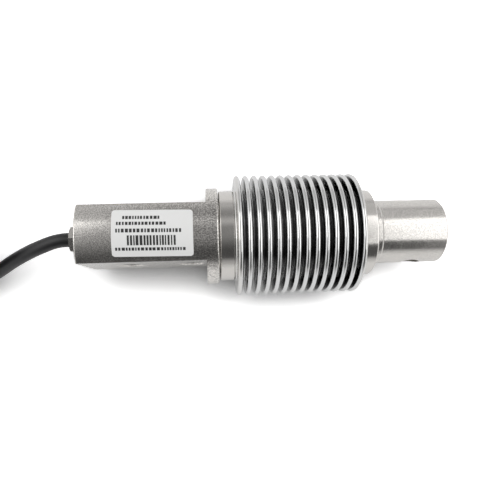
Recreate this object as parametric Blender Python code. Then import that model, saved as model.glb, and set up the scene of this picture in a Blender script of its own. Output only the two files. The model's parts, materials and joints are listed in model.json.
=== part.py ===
"""Bending-beam load cell sealed by a metal bellows, with its cable put away as a hank.

The cell lies along X, from the cable end at -X to the nose at +X, with its nameplate up.
Z = 0 is the surface it lies on, which its bellows touches. All sizes are in metres.
A station is a distance along X from the head's end face.
"""

import math

import bmesh
import bpy
from mathutils import Matrix, Vector

# Clearances
SEAT_GAP = 0.0003
LABEL_GAP = 0.0002

# Roundness
FINE_SIDES = 44
RING_SIDES = 28
SMALL_SIDES = 16
WIRE_SIDES = 8
HEXAGON_SIDES = 6

# Head and collar of the measuring body
HEAD_DIAMETER = 0.0324
HEAD_LENGTH = 0.0402
HEAD_FLATS_ACROSS = 0.0184
HEAD_EDGE_CHAMFER = 0.0005
COLLAR_LENGTH = 0.0039

# Bolt holes through the head's flats
BOLT_HOLE_DIAMETER = 0.0082
FIRST_BOLT_STATION = 0.0150
BOLT_SPACING = 0.0200

# Bellows
BELLOWS_DIAMETER = 0.0406
BELLOWS_FOLD_DEPTH = 0.0051
BELLOWS_CRESTS = 14
BELLOWS_PITCH = 0.002955
BELLOWS_CREST_WIDTH = 0.0016
BELLOWS_WALL = 0.0004
BELLOWS_CUFF_LENGTH = 0.00045

# Weld rings, inside the line of the bellows' roots
HEAD_RING_INSET = 0.00005
HEAD_RING_LENGTH = 0.00465
HEAD_PILOT_WALL = 0.0027
NOSE_RING_INSET = 0.00055
NOSE_RING_LENGTH = 0.00475
NOSE_PILOT_WALL = 0.0030
RING_CHAMFER = 0.0003
RING_PILOT_LENGTH = 0.0012

# Bending beam between the spigots
BEAM_INSET = 0.0030
BEAM_DEPTH_TO_WIDTH = 1.7
BEAM_THIN_WALL = 0.0021
WINDOW_FROM_SPIGOT = 0.00315
WINDOW_SLOT = 0.0050

# Nose with the load hole
WELD_LIP_LENGTH = 0.00285
WELD_LIP_HEIGHT = 0.0003
NOSE_LENGTH = 0.0218
NOSE_CHAMFER = 0.0009
LOAD_HOLE_DIAMETER = 0.0068
LOAD_HOLE_FROM_TIP = 0.0100

# End chamber and wire duct
CHAMBER_DIAMETER = 0.0166
CHAMBER_DEPTH = 0.0092
DUCT_DIAMETER = 0.0026
DUCT_BELOW_BEAM = 0.0019

# Cable gland
GLAND_HEX_ACROSS = 0.0080
GLAND_HEX_LENGTH = 0.0045
GLAND_HEX_CHAMFER = 0.0006
GLAND_THREAD_DIAMETER = 0.0072
GLAND_THREAD_LENGTH = 0.0015
WASHER_THICKNESS = 0.0005
SEAL_LENGTH = 0.0020
BUSH_FLOOR = 0.0010
BUSH_CHAMFER = 0.0003

# Compensation board and what is on it
BOARD_THICKNESS = 0.0008
RESISTOR_COUNT = 3
RESISTOR_SIZE = (0.0012, 0.0016, 0.0032)
RESISTOR_SPACING = 0.0036
RESISTOR_LIFT = 0.0015

# Gauges, solder strip and wires
GAUGE_SIZE = (0.0060, 0.0002, 0.0045)
STRIP_SIZE = (0.0040, 0.0030, 0.0005)
STRIP_FROM_SPIGOT = 0.0010
WIRE_DIAMETER = 0.0006
WIRE_SPREAD = 0.00045
WIRE_OVER_STRIP = 0.0028

# Nameplate
NAMEPLATE_STATION = 0.0115
NAMEPLATE_LENGTH = 0.0247
NAMEPLATE_ARC = 0.0147
NAMEPLATE_OFFSET = -0.0006
NAMEPLATE_CORNER = 0.0010
NAMEPLATE_THICKNESS = 0.00025
NAMEPLATE_CORNER_ROWS = 3
NAMEPLATE_ROWS = 8

# Cable
CABLE_DIAMETER = 0.0048
CABLE_SPACING = 0.0042
CABLE_BEVEL_STEPS = 3

# Hank of the cable's spare length
HANK_FOLD_RADIUS = 0.0150
HANK_TURN_STEP = 0.0050
HANK_RUN = 0.0755
HANK_LAYERS = 6
HANK_TURNS_WIDE = 2
HANK_RIGHT_FOLD = (-0.0720, -0.0040)
HANK_FOLD_STEPS = 12
FLOOR_GAP = 0.0001

# Ties
TIE_WIDTH = 0.0036
TIE_THICKNESS = 0.0008
TIE_CORNER = 0.0015
TIE_CORNER_STEPS = 3

# Stripped cores and shield drain
CORE_DIAMETER = 0.0013
CORE_LENGTH = 0.0290
CORE_OFFSET = 0.00095
CORE_SPREAD_INNER = 0.0017
CORE_SPREAD_OUTER = 0.0038
CORE_SPACING = 0.0036
CORE_BEVEL_STEPS = 1
DRAIN_DIAMETER = 0.0008

# Stations along the cell, each from the ones before it
COLLAR_END = HEAD_LENGTH + COLLAR_LENGTH
HEAD_RING_START = COLLAR_END + SEAT_GAP
HEAD_RING_END = HEAD_RING_START + HEAD_RING_LENGTH
HEAD_SPIGOT_END = HEAD_RING_END + RING_PILOT_LENGTH
BELLOWS_START = HEAD_RING_END + SEAT_GAP
FIRST_CREST = BELLOWS_START + BELLOWS_CUFF_LENGTH + BELLOWS_CREST_WIDTH / 2
LAST_CREST = FIRST_CREST + (BELLOWS_CRESTS - 1) * BELLOWS_PITCH
BELLOWS_END = LAST_CREST + BELLOWS_CREST_WIDTH / 2 + BELLOWS_CUFF_LENGTH
NOSE_RING_START = BELLOWS_END + SEAT_GAP
NOSE_SPIGOT_START = NOSE_RING_START - RING_PILOT_LENGTH
NOSE_RING_END = NOSE_RING_START + NOSE_RING_LENGTH
NOSE_START = NOSE_RING_END + WELD_LIP_LENGTH
NOSE_END = NOSE_START + NOSE_LENGTH
BEAM_MIDDLE = (HEAD_SPIGOT_END + NOSE_SPIGOT_START) / 2
LOAD_HOLE_STATION = NOSE_END - LOAD_HOLE_FROM_TIP

# Radii that follow from the sizes above, from the bellows inwards
HEAD_RADIUS = HEAD_DIAMETER / 2
BELLOWS_RADIUS = BELLOWS_DIAMETER / 2
BELLOWS_ROOT_RADIUS = BELLOWS_RADIUS - BELLOWS_FOLD_DEPTH
BELLOWS_BORE_RADIUS = BELLOWS_ROOT_RADIUS - BELLOWS_WALL
PILOT_RADIUS = BELLOWS_BORE_RADIUS - SEAT_GAP
HEAD_SPIGOT_RADIUS = PILOT_RADIUS - HEAD_PILOT_WALL - SEAT_GAP
NOSE_SPIGOT_RADIUS = PILOT_RADIUS - NOSE_PILOT_WALL - SEAT_GAP
NOSE_RADIUS = NOSE_SPIGOT_RADIUS - WELD_LIP_HEIGHT
CABLE_RADIUS = CABLE_DIAMETER / 2
CABLE_BORE_RADIUS = CABLE_RADIUS + SEAT_GAP
THREAD_RADIUS = GLAND_THREAD_DIAMETER / 2
BUSH_BORE_RADIUS = THREAD_RADIUS + SEAT_GAP
BUSH_RADIUS = CHAMBER_DIAMETER / 2 - SEAT_GAP

# Beam sizes that follow from the spigot's
BEAM_DEPTH = 2 * (HEAD_SPIGOT_RADIUS - BEAM_INSET)
BEAM_WIDTH = BEAM_DEPTH / BEAM_DEPTH_TO_WIDTH
WINDOW_DIAMETER = BEAM_DEPTH - 2 * BEAM_THIN_WALL
BEAM_LENGTH = NOSE_SPIGOT_START - HEAD_SPIGOT_END
WINDOW_SPACING = BEAM_LENGTH - 2 * WINDOW_FROM_SPIGOT - WINDOW_DIAMETER
DUCT_DROP = BEAM_WIDTH / 2 + DUCT_BELOW_BEAM

# Stations inside the end chamber
THREAD_END = GLAND_THREAD_LENGTH - SEAT_GAP
WASHER_START = THREAD_END + SEAT_GAP
SEAL_START = WASHER_START + WASHER_THICKNESS + SEAT_GAP
BUSH_SHOULDER = SEAL_START + SEAL_LENGTH + SEAT_GAP
BUSH_END = BUSH_SHOULDER + BUSH_FLOOR
BOARD_START = BUSH_END + SEAT_GAP
BOARD_END = BOARD_START + BOARD_THICKNESS
GLAND_OUTER_FACE = -SEAT_GAP - GLAND_HEX_LENGTH

# Place of the whole cell: its middle at X = 0 and its bellows on Z = 0
AXIS_HEIGHT = BELLOWS_RADIUS
HEAD_END_X = -(NOSE_END + GLAND_OUTER_FACE) / 2

# Hank sizes and levels above the floor
HANK_BOTTOM = TIE_THICKNESS + SEAT_GAP
HANK_TOP = HANK_BOTTOM + HANK_LAYERS * HANK_TURN_STEP
HANK_OUTER_RADIUS = HANK_FOLD_RADIUS + (HANK_TURNS_WIDE - 0.5) * HANK_TURN_STEP
HANK_INNER_RADIUS = HANK_FOLD_RADIUS - HANK_TURN_STEP / 2
RUN_OFFSET = (HANK_OUTER_RADIUS + HANK_INNER_RADIUS) / 2
CABLE_REST = HANK_BOTTOM + HANK_TURN_STEP / 2
TAIL_REST = CABLE_RADIUS + FLOOR_GAP

# The cable's route from the chamber to the hank: station, Y, height above the floor
CABLE_ROUTE = [
    (BUSH_END, 0.0, AXIS_HEIGHT),
    (0.0, 0.0, AXIS_HEIGHT),
    (-0.0050, 0.0, AXIS_HEIGHT),
    (-0.0080, -0.0001, AXIS_HEIGHT),
    (-0.0113, -0.0007, 0.0199),
    (-0.0148, -0.0018, 0.0190),
    (-0.0185, -0.0030, 0.0176),
    (-0.0224, -0.0044, 0.0156),
    (-0.0266, -0.0060, 0.0130),
    (-0.0310, -0.0079, 0.0100),
    (-0.0358, -0.0101, 0.0072),
    (-0.0408, -0.0126, 0.0051),
    (-0.0459, -0.0153, 0.0040),
    (-0.0508, -0.0179, CABLE_REST),
]

# The cable's far end inside the hank, lying on the floor: station, Y, height
TAIL_ROUTE = [
    (-0.0880, -0.0136, CABLE_REST),
    (-0.0940, -0.0118, 0.0030),
    (-0.1000, -0.0097, 0.0026),
    (-0.1060, -0.0082, TAIL_REST),
    (-0.1120, -0.0075, TAIL_REST),
    (-0.1180, -0.0073, TAIL_REST),
]

# Colours, as linear RGB
STEEL = (0.62, 0.61, 0.60)
BLASTED_STEEL = (0.50, 0.49, 0.48)
BELLOWS_STEEL = (0.66, 0.66, 0.66)
RUBBER_BLACK = (0.015, 0.015, 0.016)
JACKET_BLACK = (0.012, 0.012, 0.013)
PLATE_WHITE = (0.85, 0.85, 0.85)
FOIL_AMBER = (0.55, 0.28, 0.06)
BOARD_GREEN = (0.02, 0.16, 0.06)
RESISTOR_BLUE = (0.06, 0.16, 0.35)
SOLDER_COPPER = (0.70, 0.36, 0.20)
TINNED_COPPER = (0.65, 0.62, 0.58)
TIE_BLACK = (0.02, 0.02, 0.02)
CORE_COLOURS = {
    "core_red": (0.55, 0.02, 0.02),
    "core_black": (0.02, 0.02, 0.02),
    "core_green": (0.02, 0.28, 0.06),
    "core_white": (0.80, 0.80, 0.78),
}


def clear_scene():
    """Remove whatever the scene holds."""
    for old in list(bpy.data.objects):
        bpy.data.objects.remove(old, do_unlink=True)


def make_material(name, colour, roughness, metallic=0.0):
    """Return a Principled material."""
    material = bpy.data.materials.new(name)
    material.use_nodes = True
    shader = material.node_tree.nodes["Principled BSDF"]
    shader.inputs["Base Color"].default_value = (*colour, 1.0)
    shader.inputs["Roughness"].default_value = roughness
    shader.inputs["Metallic"].default_value = metallic
    return material


def make_datum(name, height):
    """Return an empty at the head's end face, at the given height."""
    datum = bpy.data.objects.new(name, None)
    datum.location = (HEAD_END_X, 0.0, height)
    bpy.context.collection.objects.link(datum)
    return datum


def add_object(name, data, datum, location=(0.0, 0.0, 0.0), material=None):
    """Link an object to the scene under a datum, with its material."""
    piece = bpy.data.objects.new(name, data)
    piece.parent = datum
    piece.location = location
    if material is not None:
        data.materials.append(material)
    bpy.context.collection.objects.link(piece)
    return piece


def finish_mesh(name, bm, smooth=True):
    """Turn a bmesh into a mesh with outward faces."""
    bmesh.ops.recalc_face_normals(bm, faces=bm.faces[:])
    mesh = bpy.data.meshes.new(name)
    bm.to_mesh(mesh)
    bm.free()
    if smooth:
        mesh.shade_smooth()
        mesh.set_sharp_from_angle(angle=math.radians(35))
    return mesh


def turned_mesh(name, profile, sides, closed=False):
    """Spin a profile of (station, radius) points about the X axis."""
    bm = bmesh.new()
    points = [bm.verts.new((x, 0.0, radius)) for x, radius in profile]
    edges = [bm.edges.new(pair) for pair in zip(points, points[1:])]
    if closed:
        edges.append(bm.edges.new((points[-1], points[0])))
    bmesh.ops.spin(bm, geom=points + edges, cent=(0, 0, 0), axis=(1, 0, 0),
                   angle=math.tau, steps=sides, use_merge=True)
    bmesh.ops.remove_doubles(bm, verts=bm.verts[:], dist=1e-6)
    return finish_mesh(name, bm)


def banded_mesh(name, outer, inner, low, high):
    """Extrude the band between two outlines of equal point counts along Z."""
    bm = bmesh.new()
    rings = []
    for outline in (outer, inner):
        for level in (low, high):
            rings.append([bm.verts.new((x, y, level)) for x, y in outline])
    outer_low, outer_high, inner_low, inner_high = rings
    count = len(outer)
    for start in range(count):
        end = (start + 1) % count
        for lower, upper in ((outer_low, outer_high), (inner_low, inner_high),
                             (outer_low, inner_low), (outer_high, inner_high)):
            bm.faces.new((lower[start], lower[end], upper[end], upper[start]))
    return finish_mesh(name, bm)


def box_mesh(name, size):
    """Return a box centred on its origin."""
    bm = bmesh.new()
    bmesh.ops.create_cube(bm, size=1.0)
    bmesh.ops.scale(bm, vec=size, verts=bm.verts[:])
    return finish_mesh(name, bm, smooth=False)


def rod_mesh(name, radius, low, high, sides, axis):
    """Return a cylinder along X, Y or Z between two coordinates."""
    bm = bmesh.new()
    bmesh.ops.create_cone(bm, cap_ends=True, segments=sides, radius1=radius, radius2=radius,
                          depth=high - low)
    turn = {
        "X": Matrix.Rotation(math.pi / 2, 4, "Y"),
        "Y": Matrix.Rotation(math.pi / 2, 4, "X"),
        "Z": Matrix.Identity(4),
    }[axis]
    bmesh.ops.transform(bm, matrix=turn, verts=bm.verts[:])
    direction = {"X": Vector((1, 0, 0)), "Y": Vector((0, 1, 0)), "Z": Vector((0, 0, 1))}[axis]
    bmesh.ops.translate(bm, verts=bm.verts[:], vec=direction * (low + high) / 2)
    return finish_mesh(name, bm)


def add_boolean(target, tool, operation):
    """Join, cut or intersect a piece with a tool object that stays hidden."""
    tool.hide_render = True
    tool.display_type = "WIRE"
    step = target.modifiers.new(tool.name, "BOOLEAN")
    step.operation = operation
    step.solver = "EXACT"
    step.object = tool


def smooth_route(points, spacing):
    """Return points at about equal spacing on a Catmull-Rom curve through the route."""
    route = [Vector(point) for point in points]
    padded = [2 * route[0] - route[1], *route, 2 * route[-1] - route[-2]]
    dense = []
    for before, start, end, after in zip(padded, padded[1:], padded[2:], padded[3:]):
        for step in range(12):
            t = step / 12
            dense.append(0.5 * (2 * start + (end - before) * t
                                + (2 * before - 5 * start + 4 * end - after) * t ** 2
                                + (3 * start - before - 3 * end + after) * t ** 3))
    dense.append(route[-1])
    length = sum((b - a).length for a, b in zip(dense, dense[1:]))
    count = max(2, round(length / spacing))
    spaced = [dense[0]]
    travelled = 0.0
    for a, b in zip(dense, dense[1:]):
        travelled += (b - a).length
        if travelled >= length * len(spaced) / count and len(spaced) < count:
            spaced.append(b)
    return [*spaced, dense[-1]]


def add_tube(name, points, diameter, bevel_steps, datum, material):
    """Add a round tube with filled caps along a line of points."""
    curve = bpy.data.curves.new(name, "CURVE")
    curve.dimensions = "3D"
    curve.bevel_depth = diameter / 2
    curve.bevel_resolution = bevel_steps
    curve.use_fill_caps = True
    line = curve.splines.new("POLY")
    line.points.add(len(points) - 1)
    for slot, point in zip(line.points, points):
        slot.co = (*point, 1.0)
    return add_object(name, curve, datum, material=material)


def head_profile():
    """Head, collar and spigot as one turned blank."""
    spigot = HEAD_SPIGOT_RADIUS
    chamfer = HEAD_EDGE_CHAMFER
    return [(0.0, 0.0), (0.0, HEAD_RADIUS - chamfer), (chamfer, HEAD_RADIUS),
            (COLLAR_END - chamfer, HEAD_RADIUS), (COLLAR_END, HEAD_RADIUS - chamfer),
            (COLLAR_END, spigot), (HEAD_SPIGOT_END, spigot), (HEAD_SPIGOT_END, 0.0)]


def nose_profile():
    """Spigot, weld lip and nose as one turned blank."""
    spigot = NOSE_SPIGOT_RADIUS
    return [(NOSE_SPIGOT_START, 0.0), (NOSE_SPIGOT_START, spigot),
            (NOSE_START - WELD_LIP_HEIGHT, spigot), (NOSE_START, NOSE_RADIUS),
            (NOSE_END - NOSE_CHAMFER, NOSE_RADIUS), (NOSE_END, NOSE_RADIUS - NOSE_CHAMFER),
            (NOSE_END, 0.0)]


def body_tools(datum):
    """Yield every tool that shapes the measuring body's blank, with its operation."""
    reach = HEAD_DIAMETER
    overlap = SEAT_GAP * 2
    nose = turned_mesh("nose_blank", nose_profile(), FINE_SIDES)
    yield add_object("nose_blank", nose, datum), "UNION"
    beam = box_mesh("beam_blank", (BEAM_LENGTH + 2 * overlap, BEAM_DEPTH, BEAM_WIDTH))
    yield add_object("beam_blank", beam, datum, (BEAM_MIDDLE, 0.0, 0.0)), "UNION"
    for side in (-1, 1):
        name = f"flat_cutter_{'near' if side < 0 else 'far'}"
        flat = box_mesh(name, (2 * HEAD_LENGTH, reach, 2 * reach))
        place = (0.0, side * (HEAD_FLATS_ACROSS + reach) / 2, 0.0)
        yield add_object(name, flat, datum, place), "DIFFERENCE"
    chamber = rod_mesh("chamber_cutter", CHAMBER_DIAMETER / 2, -CHAMBER_DEPTH, CHAMBER_DEPTH,
                       RING_SIDES, "X")
    yield add_object("chamber_cutter", chamber, datum), "DIFFERENCE"
    duct = rod_mesh("duct_cutter", DUCT_DIAMETER / 2, BOARD_END, HEAD_SPIGOT_END + overlap,
                    SMALL_SIDES, "X")
    yield add_object("duct_cutter", duct, datum, (0.0, 0.0, -DUCT_DROP)), "DIFFERENCE"
    for number in range(2):
        name = f"bolt_cutter_{number + 1}"
        hole = rod_mesh(name, BOLT_HOLE_DIAMETER / 2, -reach, reach, RING_SIDES, "Y")
        place = (FIRST_BOLT_STATION + number * BOLT_SPACING, 0.0, 0.0)
        yield add_object(name, hole, datum, place), "DIFFERENCE"
    load = rod_mesh("load_cutter", LOAD_HOLE_DIAMETER / 2, -reach, reach, RING_SIDES, "Y")
    yield add_object("load_cutter", load, datum, (LOAD_HOLE_STATION, 0.0, 0.0)), "DIFFERENCE"
    for side in (-1, 1):
        name = f"window_cutter_{'head' if side < 0 else 'nose'}"
        window = rod_mesh(name, WINDOW_DIAMETER / 2, -BEAM_WIDTH, BEAM_WIDTH, RING_SIDES, "Z")
        place = (BEAM_MIDDLE + side * WINDOW_SPACING / 2, 0.0, 0.0)
        yield add_object(name, window, datum, place), "DIFFERENCE"
    slot = box_mesh("slot_cutter", (WINDOW_SPACING, WINDOW_SLOT, 2 * BEAM_WIDTH))
    yield add_object("slot_cutter", slot, datum, (BEAM_MIDDLE, 0.0, 0.0)), "DIFFERENCE"


def add_measuring_body(datum, steel):
    """The one-piece body: head, collar, spigots, twin-hole beam and nose."""
    blank = turned_mesh("measuring_body", head_profile(), FINE_SIDES)
    body = add_object("measuring_body", blank, datum, material=steel)
    for tool, operation in body_tools(datum):
        add_boolean(body, tool, operation)


def fold_points(centre, foot, peak, half_width):
    """Four points across a rounded fold of the bellows wall, from foot to peak to foot."""
    return [(centre - half_width, foot), (centre - half_width / 2, peak),
            (centre + half_width / 2, peak), (centre + half_width, foot)]


def bellows_profile():
    """Closed section of the corrugated wall: outside left to right, inside right to left."""
    crest = BELLOWS_CREST_WIDTH / 2
    valley = (BELLOWS_PITCH - BELLOWS_CREST_WIDTH) / 2
    root = BELLOWS_ROOT_RADIUS
    peak = BELLOWS_RADIUS
    centres = [FIRST_CREST + number * BELLOWS_PITCH for number in range(BELLOWS_CRESTS)]
    outside = [(BELLOWS_START, root), (FIRST_CREST - crest, root + valley)]
    for centre in centres:
        outside += fold_points(centre, peak - crest, peak, crest)
        if centre != centres[-1]:
            outside += fold_points(centre + BELLOWS_PITCH / 2, root + valley, root, valley)
    outside += [(LAST_CREST + crest, root + valley), (BELLOWS_END, root)]
    inside = [(BELLOWS_END, BELLOWS_BORE_RADIUS)]
    hollow = crest - BELLOWS_WALL
    hollow_peak = peak - BELLOWS_WALL
    for centre in reversed(centres):
        inside += [(centre + hollow, BELLOWS_BORE_RADIUS), (centre + hollow, hollow_peak),
                   (centre - hollow, hollow_peak), (centre - hollow, BELLOWS_BORE_RADIUS)]
    inside.append((BELLOWS_START, BELLOWS_BORE_RADIUS))
    return outside + inside


def add_bellows(datum, steel):
    """The corrugated tube that seals the beam."""
    mesh = turned_mesh("bellows", bellows_profile(), RING_SIDES, closed=True)
    add_object("bellows", mesh, datum, material=steel)


def ring_profile(face, away, length, outer, bore):
    """Section of a weld ring whose pilot enters the bellows at the given face."""
    pilot = face - away * RING_PILOT_LENGTH
    back = face + away * length
    chamfer = away * RING_CHAMFER
    return [(pilot, bore), (pilot, PILOT_RADIUS), (face, PILOT_RADIUS),
            (face, outer - RING_CHAMFER), (face + chamfer, outer), (back - chamfer, outer),
            (back, outer - RING_CHAMFER), (back, bore)]


def add_weld_rings(datum, steel):
    """The two rings that carry the bellows on the body's spigots."""
    head = ring_profile(HEAD_RING_END, -1, HEAD_RING_LENGTH,
                        BELLOWS_ROOT_RADIUS - HEAD_RING_INSET, HEAD_SPIGOT_RADIUS + SEAT_GAP)
    nose = ring_profile(NOSE_RING_START, 1, NOSE_RING_LENGTH,
                        BELLOWS_ROOT_RADIUS - NOSE_RING_INSET, NOSE_SPIGOT_RADIUS + SEAT_GAP)
    for name, profile in (("head_ring", head), ("nose_ring", nose)):
        mesh = turned_mesh(name, profile, RING_SIDES, closed=True)
        add_object(name, mesh, datum, material=steel)


def add_gland(datum, steel, rubber):
    """The cable entry: bush in the chamber, seal, washer and hollow hexagon screw."""
    bush_profile = [(0.0, BUSH_BORE_RADIUS), (0.0, BUSH_RADIUS - BUSH_CHAMFER),
                    (BUSH_CHAMFER, BUSH_RADIUS), (BUSH_END, BUSH_RADIUS),
                    (BUSH_END, CABLE_BORE_RADIUS), (BUSH_SHOULDER, CABLE_BORE_RADIUS),
                    (BUSH_SHOULDER, BUSH_BORE_RADIUS)]
    bush = turned_mesh("gland_bush", bush_profile, RING_SIDES, closed=True)
    add_object("gland_bush", bush, datum, material=steel)
    for name, start, length, material in (
            ("gland_washer", WASHER_START, WASHER_THICKNESS, steel),
            ("gland_seal", SEAL_START, SEAL_LENGTH, rubber)):
        section = [(0.0, CABLE_BORE_RADIUS), (0.0, THREAD_RADIUS), (length, THREAD_RADIUS),
                   (length, CABLE_BORE_RADIUS)]
        mesh = turned_mesh(name, section, SMALL_SIDES, closed=True)
        add_object(name, mesh, datum, (start, 0.0, 0.0), material)
    add_gland_screw(datum, steel)


def add_gland_screw(datum, steel):
    """Hollow hexagon screw: a turned blank whose head is cut to a hexagon."""
    half_side = math.pi / HEXAGON_SIDES
    corner = GLAND_HEX_ACROSS / 2 / math.cos(half_side)
    chamfer = GLAND_HEX_CHAMFER
    profile = [(GLAND_OUTER_FACE, CABLE_BORE_RADIUS), (GLAND_OUTER_FACE, corner - chamfer),
               (GLAND_OUTER_FACE + chamfer, corner), (-SEAT_GAP, corner),
               (-SEAT_GAP, THREAD_RADIUS), (THREAD_END, THREAD_RADIUS),
               (THREAD_END, CABLE_BORE_RADIUS)]
    blank = turned_mesh("gland_screw", profile, 2 * SMALL_SIDES, closed=True)
    screw = add_object("gland_screw", blank, datum, material=steel)
    hexagon = rod_mesh("hexagon_gauge", corner, 2 * GLAND_OUTER_FACE, 2 * GLAND_HEX_LENGTH,
                       HEXAGON_SIDES, "X")
    hexagon.transform(Matrix.Rotation(half_side, 4, "X"))
    add_boolean(screw, add_object("hexagon_gauge", hexagon, datum), "INTERSECT")


def add_board(datum, board_green, resistor_blue):
    """The round compensation board in the end chamber, with its resistors."""
    disc = rod_mesh("compensation_board", BUSH_RADIUS, 0.0, BOARD_THICKNESS, RING_SIDES, "X")
    add_object("compensation_board", disc, datum, (BOARD_START, 0.0, 0.0), board_green)
    station = BOARD_END + SEAT_GAP + RESISTOR_SIZE[0] / 2
    for number in range(RESISTOR_COUNT):
        name = f"board_resistor_{number + 1}"
        offset = (number - (RESISTOR_COUNT - 1) / 2) * RESISTOR_SPACING
        chip = box_mesh(name, RESISTOR_SIZE)
        add_object(name, chip, datum, (station, offset, RESISTOR_LIFT), resistor_blue)


def add_gauges(datum, foil):
    """Four foil gauges on the beam's two faces, over its thin places."""
    lift = (BEAM_DEPTH + GAUGE_SIZE[1]) / 2 + SEAT_GAP
    places = [(end, side) for end in (-1, 1) for side in (-1, 1)]
    for number, (end, side) in enumerate(places, start=1):
        name = f"strain_gauge_{number}"
        station = BEAM_MIDDLE + end * WINDOW_SPACING / 2
        gauge = box_mesh(name, GAUGE_SIZE)
        add_object(name, gauge, datum, (station, side * lift, 0.0), foil)


def add_wiring(datum, copper):
    """The solder strip on the beam and the wires from it through the duct to the board."""
    strip_start = HEAD_SPIGOT_END + STRIP_FROM_SPIGOT
    strip_place = (strip_start + STRIP_SIZE[0] / 2, 0.0,
                   -BEAM_WIDTH / 2 - SEAT_GAP - STRIP_SIZE[2] / 2)
    add_object("solder_strip", box_mesh("solder_strip", STRIP_SIZE), datum, strip_place, copper)
    wire_end = strip_start + WIRE_OVER_STRIP
    corners = [(-1, -1), (1, -1), (-1, 1), (1, 1)]
    for number, (across, up) in enumerate(corners, start=1):
        name = f"gauge_wire_{number}"
        wire = rod_mesh(name, WIRE_DIAMETER / 2, BOARD_END + SEAT_GAP, wire_end, WIRE_SIDES, "X")
        place = (0.0, across * WIRE_SPREAD, up * WIRE_SPREAD - DUCT_DROP)
        add_object(name, wire, datum, place, copper)


def nameplate_rows():
    """Arc position and half length of each row of the plate, with rounded corners."""
    half = NAMEPLATE_ARC / 2
    corner = NAMEPLATE_CORNER
    rows = []
    for step in range(NAMEPLATE_CORNER_ROWS + 1):
        angle = math.pi / 2 * step / NAMEPLATE_CORNER_ROWS
        rows.append((half - corner + corner * math.cos(angle),
                     NAMEPLATE_LENGTH / 2 - corner + corner * math.sin(angle)))
    middle = half - corner
    for step in range(1, NAMEPLATE_ROWS):
        rows.append((middle - 2 * middle * step / NAMEPLATE_ROWS, NAMEPLATE_LENGTH / 2))
    rows += [(-position, length) for position, length in reversed(rows[:NAMEPLATE_CORNER_ROWS + 1])]
    return rows


def add_nameplate(datum, white):
    """Thin plate with rounded corners, curved over the top of the head."""
    inner = HEAD_RADIUS + LABEL_GAP
    bm = bmesh.new()
    rows = []
    for position, half_length in nameplate_rows():
        angle = (position + NAMEPLATE_OFFSET) / HEAD_RADIUS
        row = []
        for radius in (inner, inner + NAMEPLATE_THICKNESS):
            for end in (-1, 1):
                row.append(bm.verts.new((end * half_length, radius * math.sin(angle),
                                         radius * math.cos(angle))))
        rows.append(row)
    loop = (0, 1, 3, 2)
    for first, second in zip(rows, rows[1:]):
        for a, b in zip(loop, loop[1:] + loop[:1]):
            bm.faces.new((first[a], first[b], second[b], second[a]))
    for row in (rows[0], rows[-1]):
        bm.faces.new([row[corner] for corner in loop])
    mesh = finish_mesh("nameplate", bm)
    middle = NAMEPLATE_STATION + NAMEPLATE_LENGTH / 2
    add_object("nameplate", mesh, datum, (middle, 0.0, 0.0), white)


def racetrack(radius):
    """Outline of the hank at a given distance from its middle line."""
    right_x, middle_y = HANK_RIGHT_FOLD
    outline = []
    for fold_x, start in ((right_x, -90), (right_x - HANK_RUN, 90)):
        for step in range(HANK_FOLD_STEPS + 1):
            angle = math.radians(start + 180 * step / HANK_FOLD_STEPS)
            outline.append((fold_x + radius * math.cos(angle),
                            middle_y + radius * math.sin(angle)))
    return outline


def add_cable(floor, jacket):
    """The cable's free stretch, its hank and its far end inside the hank."""
    add_tube("cable", smooth_route(CABLE_ROUTE, CABLE_SPACING), CABLE_DIAMETER,
             CABLE_BEVEL_STEPS, floor, jacket)
    hank = banded_mesh("cable_hank", racetrack(HANK_OUTER_RADIUS), racetrack(HANK_INNER_RADIUS),
                       HANK_BOTTOM, HANK_TOP)
    add_object("cable_hank", hank, floor, material=jacket)
    add_tube("cable_tail", smooth_route(TAIL_ROUTE, CABLE_SPACING), CABLE_DIAMETER,
             CABLE_BEVEL_STEPS, floor, jacket)


def core_route(across, up, spread, rest):
    """Line of one stripped core, from the tail's end face down onto the floor."""
    end_x, middle, _ = TAIL_ROUTE[-1]
    height = TAIL_REST + up
    points = []
    for share, side, level in ((0.0, across, height), (0.08, across, height),
                               (0.30, (across + spread) / 2, (height + rest) / 2),
                               (0.55, spread, rest), (0.78, spread, rest), (1.0, spread, rest)):
        points.append((end_x - SEAT_GAP - share * CORE_LENGTH, middle + side, level))
    return smooth_route(points, CORE_SPACING)


def add_cores(floor, tinned):
    """Four coloured cores and the shield drain at the cable's stripped end."""
    core_rest = CORE_DIAMETER / 2 + FLOOR_GAP
    drain_rest = DRAIN_DIAMETER / 2 + FLOOR_GAP
    places = [(-1, 1, CORE_SPREAD_OUTER), (1, 1, CORE_SPREAD_OUTER),
              (-1, -1, CORE_SPREAD_INNER), (1, -1, CORE_SPREAD_INNER)]
    for (name, colour), (side, level, spread) in zip(CORE_COLOURS.items(), places):
        route = core_route(side * CORE_OFFSET, level * CORE_OFFSET, side * spread, core_rest)
        material = make_material(name, colour, 0.45)
        add_tube(name, route, CORE_DIAMETER, CORE_BEVEL_STEPS, floor, material)
    route = core_route(0.0, 0.0, 0.0, drain_rest)
    add_tube("shield_drain", route, DRAIN_DIAMETER, CORE_BEVEL_STEPS, floor, tinned)


def tie_outline(half_width, low, high, corner):
    """Rounded rectangle in the plane across the hank's run, as (Y, height) points."""
    outline = []
    corners = [(half_width - corner, high - corner, 0), (corner - half_width, high - corner, 90),
               (corner - half_width, low + corner, 180), (half_width - corner, low + corner, 270)]
    for centre_y, centre_z, start in corners:
        for step in range(TIE_CORNER_STEPS + 1):
            angle = math.radians(start + 90 * step / TIE_CORNER_STEPS)
            outline.append((centre_y + corner * math.cos(angle),
                            centre_z + corner * math.sin(angle)))
    return outline


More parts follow.
